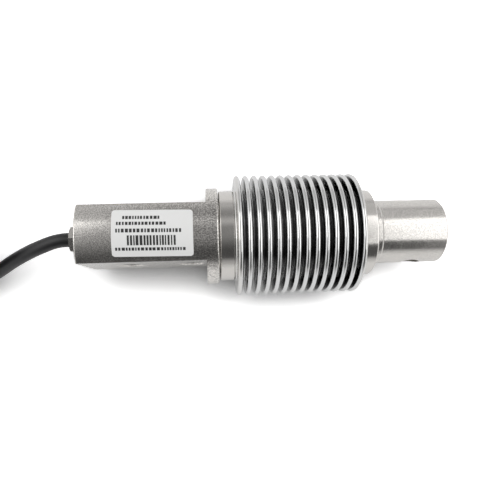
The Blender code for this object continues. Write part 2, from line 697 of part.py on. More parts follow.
def add_ties(floor, tie_black):
    """Two bands, one round each run of the hank."""
    right_x, middle_y = HANK_RIGHT_FOLD
    station = right_x - HANK_RUN / 2
    half = (HANK_OUTER_RADIUS - HANK_INNER_RADIUS) / 2 + SEAT_GAP
    low = HANK_BOTTOM - SEAT_GAP
    high = HANK_TOP + SEAT_GAP
    stand = Matrix(((0, 0, 1, 0), (1, 0, 0, 0), (0, 1, 0, 0), (0, 0, 0, 1)))
    for number, side in enumerate((-1, 1), start=1):
        name = f"hank_tie_{number}"
        inner = tie_outline(half, low, high, TIE_CORNER - TIE_THICKNESS)
        outer = tie_outline(half + TIE_THICKNESS, low - TIE_THICKNESS, high + TIE_THICKNESS,
                            TIE_CORNER)
        mesh = banded_mesh(name, outer, inner, -TIE_WIDTH / 2, TIE_WIDTH / 2)
        mesh.transform(stand)
        add_object(name, mesh, floor, (station, middle_y + side * RUN_OFFSET, 0.0), tie_black)


def build():
    """Make every piece of the load cell."""
    clear_scene()
    axis = make_datum("cell_axis", AXIS_HEIGHT)
    floor = make_datum("floor_datum", 0.0)
    blasted = make_material("blasted_stainless", BLASTED_STEEL, 0.42, 1.0)
    turned = make_material("turned_stainless", STEEL, 0.28, 1.0)
    drawn = make_material("bellows_stainless", BELLOWS_STEEL, 0.22, 1.0)
    rubber = make_material("seal_rubber", RUBBER_BLACK, 0.6)
    jacket = make_material("cable_jacket", JACKET_BLACK, 0.5)
    white = make_material("nameplate_white", PLATE_WHITE, 0.4)
    foil = make_material("gauge_foil", FOIL_AMBER, 0.35)
    green = make_material("board_green", BOARD_GREEN, 0.4)
    blue = make_material("resistor_blue", RESISTOR_BLUE, 0.4)
    copper = make_material("enamelled_copper", SOLDER_COPPER, 0.3, 1.0)
    tinned = make_material("tinned_copper", TINNED_COPPER, 0.35, 1.0)
    tie_black = make_material("tie_nylon", TIE_BLACK, 0.5)
    add_measuring_body(axis, blasted)
    add_weld_rings(axis, turned)
    add_bellows(axis, drawn)
    add_gland(axis, turned, rubber)
    add_board(axis, green, blue)
    add_gauges(axis, foil)
    add_wiring(axis, copper)
    add_nameplate(axis, white)
    add_cable(floor, jacket)
    add_cores(floor, tinned)
    add_ties(floor, tie_black)


build()
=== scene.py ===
# %% [markdown]
# # A bellows load cell, lying label up
# This file dresses the solid model of a small force sensor. The sensor is a bar of stainless
# steel: a head with two flats on the left, a thin bending beam hidden inside a bellows in the
# middle, and a round nose on the right. The solid model fixes every size and place. Here each
# visible piece gets a finer shape and a material, and then the studio is set up round it.

import json
import math
import random

import bmesh
import bpy
from mathutils import Matrix, Vector

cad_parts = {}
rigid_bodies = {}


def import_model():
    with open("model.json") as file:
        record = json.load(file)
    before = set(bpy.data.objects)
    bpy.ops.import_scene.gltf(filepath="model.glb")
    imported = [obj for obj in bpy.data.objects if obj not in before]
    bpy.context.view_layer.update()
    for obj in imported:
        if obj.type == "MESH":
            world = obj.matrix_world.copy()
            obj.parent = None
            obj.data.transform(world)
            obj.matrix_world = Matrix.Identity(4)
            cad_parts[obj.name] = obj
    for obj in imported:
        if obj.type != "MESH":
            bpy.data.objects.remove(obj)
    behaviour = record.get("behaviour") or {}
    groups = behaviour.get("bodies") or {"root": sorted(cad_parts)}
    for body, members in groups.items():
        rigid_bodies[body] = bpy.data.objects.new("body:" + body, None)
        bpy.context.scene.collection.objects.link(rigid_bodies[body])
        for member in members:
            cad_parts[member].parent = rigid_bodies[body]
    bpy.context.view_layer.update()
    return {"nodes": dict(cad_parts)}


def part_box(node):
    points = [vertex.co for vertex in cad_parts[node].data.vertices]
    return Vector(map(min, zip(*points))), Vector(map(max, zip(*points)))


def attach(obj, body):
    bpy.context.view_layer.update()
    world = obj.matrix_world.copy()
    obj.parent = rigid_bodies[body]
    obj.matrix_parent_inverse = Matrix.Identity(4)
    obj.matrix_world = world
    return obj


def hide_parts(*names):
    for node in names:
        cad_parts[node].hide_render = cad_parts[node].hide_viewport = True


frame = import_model()
MM = 0.001

# %% [markdown]
# ## Where things are
# Every place along the sensor is a station: the distance from the head's end face. The solid
# model's boxes give the end face, the axis and the bellows, so nothing here is measured twice.

# %% Stations and axis
HEAD_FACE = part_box("measuring_body")[0].x
NOSE_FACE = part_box("measuring_body")[1].x
BELLOWS_LOW, BELLOWS_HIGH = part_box("bellows")
AXIS_Y = (BELLOWS_LOW.y + BELLOWS_HIGH.y) / 2
AXIS_Z = (BELLOWS_LOW.z + BELLOWS_HIGH.z) / 2
HEAD_RADIUS = (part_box("measuring_body")[1].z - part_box("measuring_body")[0].z) / 2
AXIS_MOVE = Matrix.Translation((HEAD_FACE, AXIS_Y, AXIS_Z))
print("axis height", round(AXIS_Z / MM, 2), "mm, head radius", round(HEAD_RADIUS / MM, 2), "mm")


def station(x):
    """Distance in metres from the head's end face of a place on the X axis."""
    return x - HEAD_FACE


# %% [markdown]
# ## Small helpers
# A colour is written the way a paint program shows it, as an sRGB hex value, and one function
# turns it to the linear numbers that a renderer needs. A second function adds a shader or
# geometry node with its settings and links, so a node tree reads as a list of steps.

# %% Colour and node helpers
def linear(hex_code, alpha=1.0):
    """Linear RGBA of an sRGB hex colour such as 'c8c6c2'."""
    channels = [int(hex_code[i:i + 2], 16) / 255 for i in (0, 2, 4)]
    low = 0.04045
    return (*[c / 12.92 if c <= low else ((c + 0.055) / 1.055) ** 2.4 for c in channels], alpha)


def add_node(tree, kind, settings=None, inputs=None):
    """Add a node, set its properties, and fill or link its inputs by name or number."""
    made = tree.nodes.new(kind)
    for key, value in (settings or {}).items():
        setattr(made, key, value)
    for key, value in (inputs or {}).items():
        socket = made.inputs[key]
        if isinstance(value, bpy.types.NodeSocket):
            tree.links.new(value, socket)
        else:
            socket.default_value = value
    return made


def new_material(name, colour, roughness, metallic=0.0):
    """A Principled material; returns it with its tree and shader node."""
    material = bpy.data.materials.new(name)
    material.use_nodes = True
    shader = material.node_tree.nodes["Principled BSDF"]
    shader.inputs["Base Color"].default_value = linear(colour)
    shader.inputs["Roughness"].default_value = roughness
    shader.inputs["Metallic"].default_value = metallic
    return material, material.node_tree, shader


# %% [markdown]
# ## Making a piece
# Each finished piece keeps its object at the origin, with its place in its mesh. It rides on
# the body of the sensor, gets its material, and hides the plain solid it refines.

# %% Piece helpers
def finish_piece(piece, material, replaced=()):
    """Give a piece its material, hang it on the body and hide the plain solids it replaces."""
    piece.data.materials.clear()
    piece.data.materials.append(material)
    bpy.context.scene.collection.objects.link(piece)
    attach(piece, "root")
    if replaced:
        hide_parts(*replaced)
    return piece


def mesh_from(name, bm, sharp=35):
    """Plain smooth-shaded mesh from a bmesh, creased where faces meet at more than sharp."""
    mesh = bpy.data.meshes.new(name)
    bm.to_mesh(mesh)
    bm.free()
    mesh.shade_smooth()
    mesh.set_sharp_from_angle(angle=math.radians(sharp))
    return mesh


def join_rings(bm, rings):
    """Faces between each ring of points and the next."""
    for ring, following in zip(rings, rings[1:]):
        for i in range(len(ring)):
            j = (i + 1) % len(ring)
            bm.faces.new((ring[i], ring[j], following[j], following[i]))


def turned(name, profile, sides=192, closed=True, sharp=35):
    """Turn a section of (station, radius) points round the sensor's axis."""
    bm = bmesh.new()
    points = [bm.verts.new((x, 0.0, radius)) for x, radius in profile]
    edges = [bm.edges.new(pair) for pair in zip(points, points[1:])]
    if closed:
        edges.append(bm.edges.new((points[-1], points[0])))
    bmesh.ops.spin(bm, geom=points + edges, cent=(0, 0, 0), axis=(1, 0, 0),
                   angle=math.tau, steps=sides, use_merge=True)
    bmesh.ops.remove_doubles(bm, verts=bm.verts[:], dist=1e-7)
    bmesh.ops.recalc_face_normals(bm, faces=bm.faces[:])
    bmesh.ops.transform(bm, matrix=AXIS_MOVE, verts=bm.verts[:])
    return bpy.data.objects.new(name, mesh_from(name, bm, sharp))


# %% [markdown]
# ## The camera
# The photograph looks almost straight down from close by, about 16 cm above the axis and a
# little towards the viewer, which shows a thin strip of the near flat. The short distance
# makes the bellows folds fan out to the right.

# %% Camera
CAMERA_STATION = 41.41 * MM
CAMERA_SIDE = -21.88 * MM
CAMERA_RISE = 160.2 * MM
CAMERA_PITCH = math.radians(6.73)
CAMERA_PAN = math.radians(-4.055)
CAMERA_ROLL = math.radians(-1.586)
IMAGE_SIZE = 488
FOCAL_PIXELS = 473

camera_data = bpy.data.cameras.new("photo_camera")
camera_data.sensor_width = 36.0
camera_data.lens = camera_data.sensor_width * FOCAL_PIXELS / IMAGE_SIZE
camera_data.clip_start = 0.01
camera = bpy.data.objects.new("photo_camera", camera_data)
bpy.context.scene.collection.objects.link(camera)
camera.matrix_world = (
    Matrix.Translation((HEAD_FACE + CAMERA_STATION, AXIS_Y + CAMERA_SIDE, AXIS_Z + CAMERA_RISE))
    @ Matrix.Rotation(CAMERA_PITCH, 4, "X")
    @ Matrix.Rotation(CAMERA_PAN, 4, "Y")
    @ Matrix.Rotation(CAMERA_ROLL, 4, "Z")
)
bpy.context.scene.camera = camera
print("camera lens", round(camera_data.lens, 1), "mm")

# %% [markdown]
# ## The cable
# The cable is a round black jacket, 4.8 mm thick and 3 m long. It leaves the gland level,
# droops to the table and runs off to the left. The photograph doesn't show the rest, so it is
# folded into a hank in line with the sensor, held by two ties, with its bare end inside.
# The free stretch repeats the solid model's points. The hank is worked out by a loop: five
# turns climb the outer column, the sixth crosses over at the top, and five more come down the
# inner column. Each climb and drop lies on a straight run, so no turn cuts into another.

# %% Route of the free stretch
CABLE_DIAMETER = 4.8 * MM
FREE_ROUTE = [
    (5.6, 0.0, 20.3), (0.0, 0.0, 20.3), (-5.0, 0.0, 20.3), (-8.0, -0.1, 20.3),
    (-11.3, -0.7, 19.9), (-14.8, -1.8, 19.0), (-18.5, -3.0, 17.6), (-22.4, -4.4, 15.6),
    (-26.6, -6.0, 13.0), (-31.0, -7.9, 10.0), (-35.8, -10.1, 7.2), (-40.8, -12.6, 5.1),
    (-45.9, -15.3, 4.0), (-50.8, -17.9, 3.6), (-56.0, -20.6, 3.6), (-61.5, -22.7, 3.6),
    (-67.0, -23.8, 3.6),
]

# %% Turns of the hank
FOLD_RADIUS = 15.0
TURN_STEP = 5.0
HANK_RUN = 75.5
RIGHT_FOLD = (-72.0, -4.0)
LOWEST_TURN = 3.6
TURNS = 5
LAP_STEPS = {"near": 14, "left": 16, "far": 14, "right": 16}
HALF_LAP = LAP_STEPS["near"] + LAP_STEPS["left"]
LAP = [(part, step / count) for part, count in LAP_STEPS.items() for step in range(count)]


def eased(share):
    """Ease in and out from 0 to 1."""
    share = min(1.0, max(0.0, share))
    return share * share * (3 - 2 * share)


def lap_place(part, share, radius):
    """Station and side of a point on a lap of the given fold radius, in millimetres."""
    fold_x, middle = RIGHT_FOLD
    if part == "near":
        return fold_x - HANK_RUN * share, middle - radius
    if part == "far":
        return fold_x - HANK_RUN * (1 - share), middle + radius
    centre = fold_x - HANK_RUN if part == "left" else fold_x
    turn = math.radians(-90 - 180 * share if part == "left" else 90 - 180 * share)
    return centre + radius * math.cos(turn), middle + radius * math.sin(turn)


def hank_route():
    """Outer column up, across at the top, inner column down."""
    outer = FOLD_RADIUS + TURN_STEP
    route = []
    for turn in range(TURNS):
        for part, share in LAP:
            climb = {"near": 0.0, "left": 0.0, "far": eased(share), "right": 1.0}[part]
            level = LOWEST_TURN + (turn + climb) * TURN_STEP
            route.append((*lap_place(part, share, outer), level))
    top = LOWEST_TURN + TURNS * TURN_STEP
    for part, share in LAP[:HALF_LAP]:
        cross = eased(share) if part == "left" else 0.0
        route.append((*lap_place(part, share, outer - cross * TURN_STEP), top))
    for turn in range(TURNS):
        level = top - turn * TURN_STEP
        for part, share in LAP[HALF_LAP:] + LAP[:HALF_LAP]:
            drop = {"far": 0.0, "right": 0.0, "near": eased(share), "left": 1.0}[part]
            route.append((*lap_place(part, share, FOLD_RADIUS), level - drop * TURN_STEP))
    for part, share in LAP[HALF_LAP:]:
        route.append((*lap_place(part, share, FOLD_RADIUS), LOWEST_TURN))
    return route


# %% The bare end's route, inside the hank
TAIL_ROUTE = [
    (-72.0, -19.0, 3.6), (-77.5, -18.3, 3.6), (-82.8, -16.3, 3.6), (-88.0, -13.9, 3.5),
    (-94.0, -11.8, 3.0), (-100.0, -9.7, 2.6), (-106.0, -8.2, 2.5), (-112.0, -7.5, 2.5),
    (-118.0, -7.3, 2.5),
]


def smooth_line(points, spacing):
    """Points at even spacing on a Catmull-Rom curve through the given ones."""
    knots = [Vector(point) for point in points]
    knots = [2 * knots[0] - knots[1], *knots, 2 * knots[-1] - knots[-2]]
    line = []
    for before, start, end, after in zip(knots, knots[1:], knots[2:], knots[3:]):
        steps = max(2, round((end - start).length / spacing))
        for step in range(steps):
            t = step / steps
            line.append(0.5 * (2 * start + (end - before) * t
                               + (2 * before - 5 * start + 4 * end - after) * t ** 2
                               + (3 * start - before - 3 * end + after) * t ** 3))
    return [*line, knots[-2]]


def placed(point):
    """World position of a (station, side, height) point in millimetres."""
    along, side, height = point
    return Vector((HEAD_FACE + along * MM, AXIS_Y + side * MM, height * MM))


def tube(name, points, diameter, sides=16):
    """A curve object with one poly spline and a round section."""
    curve = bpy.data.curves.new(name, "CURVE")
    curve.dimensions = "3D"
    curve.bevel_depth = diameter / 2
    curve.bevel_resolution = (sides - 4) // 2
    curve.use_fill_caps = True
    line = curve.splines.new("POLY")
    line.points.add(len(points) - 1)
    for slot, point in zip(line.points, points):
        slot.co = (*point, 1.0)
    line.use_smooth = True
    return bpy.data.objects.new(name, curve)


FINE_STEP = 1.2
cable_points = smooth_line(FREE_ROUTE + hank_route() + TAIL_ROUTE, FINE_STEP)
cable_world = [placed(point) for point in cable_points]
cable_length = sum((b - a).length for a, b in zip(cable_world, cable_world[1:]))
print("cable length", round(cable_length, 3), "m,", len(cable_world), "points")

# %% [markdown]
# The jacket is extruded PVC. Its skin is almost smooth, with a faint leathery grain that
# breaks the highlight, so noise drives a weak bump and a little variation in roughness.

# %% Cable jacket material
PLASTIC_SWING = (0.06, 0.06)


def roughen(tree, shader, grain, strength, depth, cloud, roughness, swing):
    """Let one noise tilt the surface, and one swing its roughness below and above its value."""
    bump = add_node(tree, "ShaderNodeBump", {}, {
        "Height": grain.outputs["Fac"], "Strength": strength, "Distance": depth})
    shine = add_node(tree, "ShaderNodeMapRange", {}, {
        "Value": cloud.outputs["Fac"], "To Min": roughness - swing[0],
        "To Max": roughness + swing[1]})
    tree.links.new(bump.outputs["Normal"], shader.inputs["Normal"])
    tree.links.new(shine.outputs["Result"], shader.inputs["Roughness"])


def grainy_plastic(name, colour, roughness, grain_mm, strength):
    """Moulded or extruded plastic with a fine grain of the given size."""
    material, tree, shader = new_material(name, colour, roughness)
    place = add_node(tree, "ShaderNodeTexCoord").outputs["Object"]
    grain = add_node(tree, "ShaderNodeTexNoise", {},
                     {"Vector": place, "Scale": 1 / (grain_mm * MM), "Detail": 3.0})
    roughen(tree, shader, grain, strength, grain_mm * MM / 4, grain, roughness, PLASTIC_SWING)
    return material


PVC_JACKET = grainy_plastic("extruded_pvc_black", "141416", 0.38, 0.35, 0.35)
NYLON_TIE = grainy_plastic("moulded_nylon_black", "1b1b1c", 0.42, 0.25, 0.3)
cable = tube("signal_cable", cable_world, CABLE_DIAMETER)
finish_piece(cable, PVC_JACKET, ("cable", "cable_hank", "cable_tail"))

# %% [markdown]
# At the bare end four coloured cores and a tinned drain wire fan out on the table. Each core
# is a thin insulated wire whose last few millimetres are stripped to the copper.

# %% Cores and drain
CORE_DIAMETER = 1.3
CORE_OFFSET = 0.95
CORE_START = 0.3
CORE_LENGTH = 29.0
STRIPPED = 5.0
STRANDS_HIDDEN = 1.0
STRANDS_DIAMETER = 0.7
DRAIN_DIAMETER = 0.8
REST_GAP = 0.1
CORE_COLOURS = {
    "core_red": ("a5171b", -1, 1, 3.8), "core_black": ("1a1a1a", 1, 1, 3.8),
    "core_green": ("1c7a3d", -1, -1, 1.7), "core_white": ("e4e2dc", 1, -1, 1.7),
}
COPPER = new_material("drawn_copper", "c07a52", 0.32, 1.0)[0]
TINNED = new_material("tinned_copper", "b9b6b0", 0.35, 1.0)[0]


def core_line(across, up, spread, diameter):
    """Line of one core from the jacket's end down onto the table, in millimetres."""
    end_x, middle, end_height = TAIL_ROUTE[-1]
    height = end_height + up
    rest = diameter / 2 + REST_GAP
    knots = []
    for share, side, level in ((0.0, across, height), (0.08, across, height),
                               (0.30, (across + spread) / 2, (height + rest) / 2),
                               (0.55, spread, rest), (0.78, spread, rest), (1.0, spread, rest)):
        knots.append((end_x - CORE_START - share * CORE_LENGTH, middle + side, level))
    return smooth_line(knots, 0.8)


cable_end_pieces = []
for name, (colour, side, level, spread) in CORE_COLOURS.items():
    line = core_line(side * CORE_OFFSET, level * CORE_OFFSET, side * spread, CORE_DIAMETER)
    bare_from = line[-1].x + STRIPPED
    cover = [placed(point) for point in line if point.x > bare_from]
    wire = [placed(point) for point in line if point.x <= bare_from + STRANDS_HIDDEN]
    insulation = tube(f"{name}_insulation", cover, CORE_DIAMETER * MM, sides=12)
    finish_piece(insulation, grainy_plastic(f"core_pvc_{name[5:]}", colour, 0.4, 0.3, 0.2),
                 (name,))
    strands = finish_piece(tube(f"{name}_strands", wire, STRANDS_DIAMETER * MM, sides=10), COPPER)
    cable_end_pieces += [insulation, strands]
drain_route = [placed(point) for point in core_line(0.0, 0.0, 0.0, DRAIN_DIAMETER)]
drain = tube("shield_drain_wire", drain_route, DRAIN_DIAMETER * MM, sides=10)
finish_piece(drain, TINNED, ("shield_drain",))
cable_end_pieces.append(drain)

# %% Hank ties
TIE_EDGE = 0.25 * MM
TIE_WALL = 0.8 * MM
TIE_CORNER = 1.5 * MM


def tie_band(name, node):
    """A flat nylon band with rounded corners round one run of the hank."""
    low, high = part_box(node)
    middle = (low + high) / 2
    half_y, half_z = (high.y - low.y) / 2, (high.z - low.z) / 2
    bm = bmesh.new()
    rings = []
    for inset in (0.0, TIE_WALL):
        corner = TIE_CORNER - inset
        for end in (low.x, high.x):
            ring = []
            for quarter in range(4):
                sign_y = 1 if quarter in (0, 3) else -1
                sign_z = 1 if quarter in (0, 1) else -1
                centre_y = middle.y + sign_y * (half_y - inset - corner)
                centre_z = middle.z + sign_z * (half_z - inset - corner)
                for step in range(7):
                    turn = math.radians(90 * quarter + 15 * step)
                    ring.append(bm.verts.new((end, centre_y + corner * math.cos(turn),
                                              centre_z + corner * math.sin(turn))))
            rings.append(ring)
    outer_low, outer_high, inner_low, inner_high = rings
    join_rings(bm, [outer_low, outer_high, inner_high, inner_low, outer_low])
    bmesh.ops.recalc_face_normals(bm, faces=bm.faces[:])
    piece = bpy.data.objects.new(name, mesh_from(name, bm, 40))
    finish_piece(piece, NYLON_TIE, (node,))
    edge = piece.modifiers.new("edge", "BEVEL")
    edge.width = TIE_EDGE
    edge.segments = 2
    edge.limit_method = "ANGLE"
    return piece


ties = [tie_band("hank_tie_near", "hank_tie_1"), tie_band("hank_tie_far", "hank_tie_2")]

gland_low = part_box("gland_screw")[0]

# %% [markdown]
# ## The measuring body
# The body is one bar of stainless steel, turned and then milled: two flats on the head, two
# bolt holes, a beam with a twin-hole window inside the bellows, and a nose with a load hole.
# It is made the same way here: turned blanks are joined and then cut with Boolean modifiers.
# The broken edges are drawn in the turned sections, where they catch the light.

# %% Body sizes in millimetres
COLLAR_END = 44.1
FLATS_ACROSS = 18.4
FLATS_LENGTH = 40.2
EDGE_ROUND = 0.5
SUPPORT = 0.04
HEAD_SPIGOT_RADIUS = 11.5
HEAD_SPIGOT_END = 50.25
NOSE_SPIGOT_START = 89.365
NOSE_SPIGOT_RADIUS = 11.2
NOSE_START = 98.165
NOSE_RADIUS = 10.9
NOSE_CHAMFER = 0.5
NOSE_SHOULDER = 0.5
BEAM_SECTION = (17.0, 10.0)
WINDOW_RADIUS = 6.4
WINDOW_REACH = 10.0
SLOT_HALF_WIDTH = 2.5
CHAMBER_RADIUS = 8.3
CHAMBER_END = 9.2
DUCT_START = 8.6
DUCT_RADIUS = 1.3
DUCT_HEIGHT = -6.9
BOLT_BORE_RADIUS = 4.1
BORE_CHAMFER = 0.5
LOAD_BORE_RADIUS = 3.4
BOLT_STATIONS = (15.0, 35.0)
LOAD_FROM_TIP = 10.0
NOSE_END = station(NOSE_FACE) / MM
# Joined blanks overlap a little, and each cutter reaches well past the metal that it cuts.
OVERLAP = 0.6
OUTSIDE = 5.0
FAR = 40.0
DRILL_REACH = 30.0
WINDOW_DEPTH = 20.0
BORE_SIDES = 64


def millimetres(profile):
    """A section given in millimetres, in metres."""
    return [(x * MM, radius * MM) for x, radius in profile]


def round_edge(x, radius, size, outward):
    """Points round a convex edge at (x, radius), from the skin to the end face.

    A point just before and just after the round keeps its shading off the long faces.
    """
    turns = [math.radians(15 * step) for step in range(7)]
    bend = [(x - outward * size * (1 - math.sin(turn)), radius - size * (1 - math.cos(turn)))
            for turn in turns]
    skin = (x - outward * (size + SUPPORT), radius)
    face = (x, radius - size - SUPPORT)
    return [skin, *bend, face]


def rod(name, radius, low, high, axis, at=(0.0, 0.0, 0.0), sides=BORE_SIDES):
    """A cylinder in the sensor's own axes, in millimetres, for cutting."""
    bm = bmesh.new()
    bmesh.ops.create_cone(bm, cap_ends=True, segments=sides, radius1=radius * MM,
                          radius2=radius * MM, depth=(high - low) * MM)
    turn = {"X": Matrix.Rotation(math.pi / 2, 4, "Y"), "Y": Matrix.Rotation(math.pi / 2, 4, "X"),
            "Z": Matrix.Identity(4)}[axis]
    move = Vector([(low + high) / 2 if letter == axis else 0.0 for letter in "XYZ"])
    place = AXIS_MOVE @ Matrix.Translation((Vector(at) + move) * MM) @ turn
    bmesh.ops.transform(bm, matrix=place, verts=bm.verts[:])
    return bpy.data.objects.new(name, mesh_from(name, bm))


def cross_drill(name, profile, along):
    """A cutter turned round the Y direction at a station, from (y, radius) pairs."""
    bm = bmesh.new()
    turns = [math.tau * step / BORE_SIDES for step in range(BORE_SIDES)]
    rings = [[bm.verts.new((along + radius * math.cos(turn), across, radius * math.sin(turn)))
              for turn in turns] for across, radius in profile]
    join_rings(bm, rings)
    bm.faces.new(rings[0])
    bm.faces.new(rings[-1])
    bmesh.ops.recalc_face_normals(bm, faces=bm.faces[:])
    bmesh.ops.transform(bm, matrix=AXIS_MOVE @ Matrix.Scale(MM, 4), verts=bm.verts[:])
    return bpy.data.objects.new(name, mesh_from(name, bm))


def block(name, low, high):
    """A box in the sensor's own axes, between two corners in millimetres."""
    bm = bmesh.new()
    bmesh.ops.create_cube(bm, size=1.0)
    size = (Vector(high) - Vector(low)) * MM
    middle = (Vector(high) + Vector(low)) / 2 * MM
    place = AXIS_MOVE @ Matrix.Translation(middle) @ Matrix.Diagonal((*size, 1.0))
    bmesh.ops.transform(bm, matrix=place, verts=bm.verts[:])
    return bpy.data.objects.new(name, mesh_from(name, bm))


def machined(blank, tools, sharp):
    """Apply a list of (tool, operation) Booleans to a blank, as a plain smooth-shaded mesh."""
    scene = bpy.context.scene.collection.objects
    scene.link(blank)
    for tool, operation in tools:
        scene.link(tool)
        step = blank.modifiers.new(tool.name, "BOOLEAN")
        step.operation = operation
        step.solver = "EXACT"
        step.object = tool
    shaped = bpy.data.meshes.new_from_object(
        blank.evaluated_get(bpy.context.evaluated_depsgraph_get()))
    for tool, operation in tools:
        bpy.data.objects.remove(tool, do_unlink=True)
    name = blank.name
    bpy.data.objects.remove(blank, do_unlink=True)
    shaped.name = name
    shaped.shade_smooth()
    shaped.set_sharp_from_angle(angle=math.radians(sharp))
    return bpy.data.objects.new(name, shaped)


# %% Turn and mill the body
head_blank = turned("cell_body", millimetres([
    (0, 0), *reversed(round_edge(0, HEAD_RADIUS / MM, EDGE_ROUND, -1)),
    *round_edge(COLLAR_END, HEAD_RADIUS / MM, EDGE_ROUND, 1),
    (COLLAR_END, HEAD_SPIGOT_RADIUS), (HEAD_SPIGOT_END, HEAD_SPIGOT_RADIUS),
    (HEAD_SPIGOT_END, 0)]), closed=False)
nose_blank = turned("nose_blank", millimetres([
    (NOSE_SPIGOT_START, 0), (NOSE_SPIGOT_START, NOSE_SPIGOT_RADIUS),
    (NOSE_START - NOSE_SHOULDER, NOSE_SPIGOT_RADIUS), (NOSE_START, NOSE_RADIUS),
    (NOSE_END - NOSE_CHAMFER, NOSE_RADIUS), (NOSE_END, NOSE_RADIUS - NOSE_CHAMFER),
    (NOSE_END, 0)]), closed=False)
half_y, half_z = BEAM_SECTION[0] / 2, BEAM_SECTION[1] / 2
beam = block("beam", (HEAD_SPIGOT_END - OVERLAP, -half_y, -half_z),
             (NOSE_SPIGOT_START + OVERLAP, half_y, half_z))
beam_middle = (HEAD_SPIGOT_END + NOSE_SPIGOT_START) / 2
windows = (beam_middle - WINDOW_REACH, beam_middle + WINDOW_REACH)
flat = FLATS_ACROSS / 2
rim = BOLT_BORE_RADIUS + 2 * BORE_CHAMFER
bolt_profile = [(-flat - BORE_CHAMFER, rim), (-flat + BORE_CHAMFER, BOLT_BORE_RADIUS),
                (flat - BORE_CHAMFER, BOLT_BORE_RADIUS), (flat + BORE_CHAMFER, rim)]
cuts = [
    block("near_flat", (-OUTSIDE, -FAR, -FAR), (FLATS_LENGTH, -flat, FAR)),
    block("far_flat", (-OUTSIDE, flat, -FAR), (FLATS_LENGTH, FAR, FAR)),
    rod("chamber", CHAMBER_RADIUS, -OUTSIDE, CHAMBER_END, "X"),
    rod("duct", DUCT_RADIUS, DUCT_START, HEAD_SPIGOT_END + OVERLAP, "X", (0, 0, DUCT_HEIGHT),
        sides=24),
    rod("load_bore", LOAD_BORE_RADIUS, -DRILL_REACH, DRILL_REACH, "Y",
        (NOSE_END - LOAD_FROM_TIP, 0, 0)),
    block("slot", (windows[0], -SLOT_HALF_WIDTH, -WINDOW_DEPTH),
          (windows[1], SLOT_HALF_WIDTH, WINDOW_DEPTH)),
    *[cross_drill(f"bolt_bore_{number}", bolt_profile, along)
      for number, along in enumerate(BOLT_STATIONS)],
    *[rod(f"window_{number}", WINDOW_RADIUS, -WINDOW_DEPTH, WINDOW_DEPTH, "Z", (along, 0, 0))
      for number, along in enumerate(windows)],
]
body_tools = [(nose_blank, "UNION"), (beam, "UNION"), *[(cut, "DIFFERENCE") for cut in cuts]]
cell_body = machined(head_blank, body_tools, sharp=30)
print("body faces", len(cell_body.data.polygons))

# %% [markdown]
# ## The steels
# All the steel is stainless, but each piece was finished in its own way. The head and nose
# were blasted with fine beads, which leaves a satin grain. The rings were turned, which leaves
# lines round them. The bellows is bright sheet. A metal has no colour of its own beyond its
# reflection, so the base colour is a light warm grey and the finish does the rest.

# %% Blasted stainless steel
# Real blasting marks are finer than the photograph can show, so the grain is drawn coarser.
END_GRAIN = 0.45
COLLAR_GRAIN = 1.1
NOSE_GRAIN = 0.35
GRAIN_VALUES = (0.32, 0.68)
BLASTED_CLOUD = 4.0 * MM
STEEL_SWING = (0.04, 0.06)


def blasted_steel(name, colour, roughness, grain_mm, sparkle, slope):
    """Bead-blasted steel: grains that tilt and differ in brightness, coarsest at the collar."""
    material, tree, shader = new_material(name, colour, roughness, 1.0)
    place = add_node(tree, "ShaderNodeTexCoord").outputs["Object"]
    along = add_node(tree, "ShaderNodeSeparateXYZ", {}, {"Vector": place}).outputs["X"]
    head = add_node(tree, "ShaderNodeMapRange", {}, {
        "Value": along, "From Min": HEAD_FACE, "From Max": HEAD_FACE + COLLAR_END * MM,
        "To Min": END_GRAIN, "To Max": COLLAR_GRAIN})
    coarse = add_node(tree, "ShaderNodeMapRange", {}, {
        "Value": along, "From Min": HEAD_FACE + HEAD_SPIGOT_END * MM,
        "From Max": HEAD_FACE + NOSE_START * MM, "To Min": head.outputs["Result"],
        "To Max": NOSE_GRAIN}).outputs["Result"]
    grain = add_node(tree, "ShaderNodeTexNoise", {},
                     {"Vector": place, "Scale": 1 / (grain_mm * MM), "Detail": 1.0})
    cloud = add_node(tree, "ShaderNodeTexNoise", {},
                     {"Vector": place, "Scale": 1 / BLASTED_CLOUD, "Detail": 2.0})
    roughen(tree, shader, grain, coarse, grain_mm * MM * slope, cloud, roughness, STEEL_SWING)
    flecks = add_node(tree, "ShaderNodeMapRange", {}, {
        "Value": grain.outputs["Fac"], "From Min": GRAIN_VALUES[0], "From Max": GRAIN_VALUES[1],
        "To Min": -0.5, "To Max": 0.5})
    fleck = add_node(tree, "ShaderNodeMath", {"operation": "MULTIPLY_ADD"},
                     {0: flecks.outputs["Result"], 1: coarse, 2: 0.5})
    dark = [c * (1 - sparkle) for c in linear(colour)[:3]]
    light = [min(1.0, c * (1 + sparkle)) for c in linear(colour)[:3]]
    tint = add_node(tree, "ShaderNodeMix", {"data_type": "RGBA"},
                    {"Factor": fleck.outputs[0], "A": (*dark, 1.0), "B": (*light, 1.0)})
    tree.links.new(tint.outputs["Result"], shader.inputs["Base Color"])
    return material


# %% Turned stainless steel
TURNED_CLOUD = 2.0 * MM


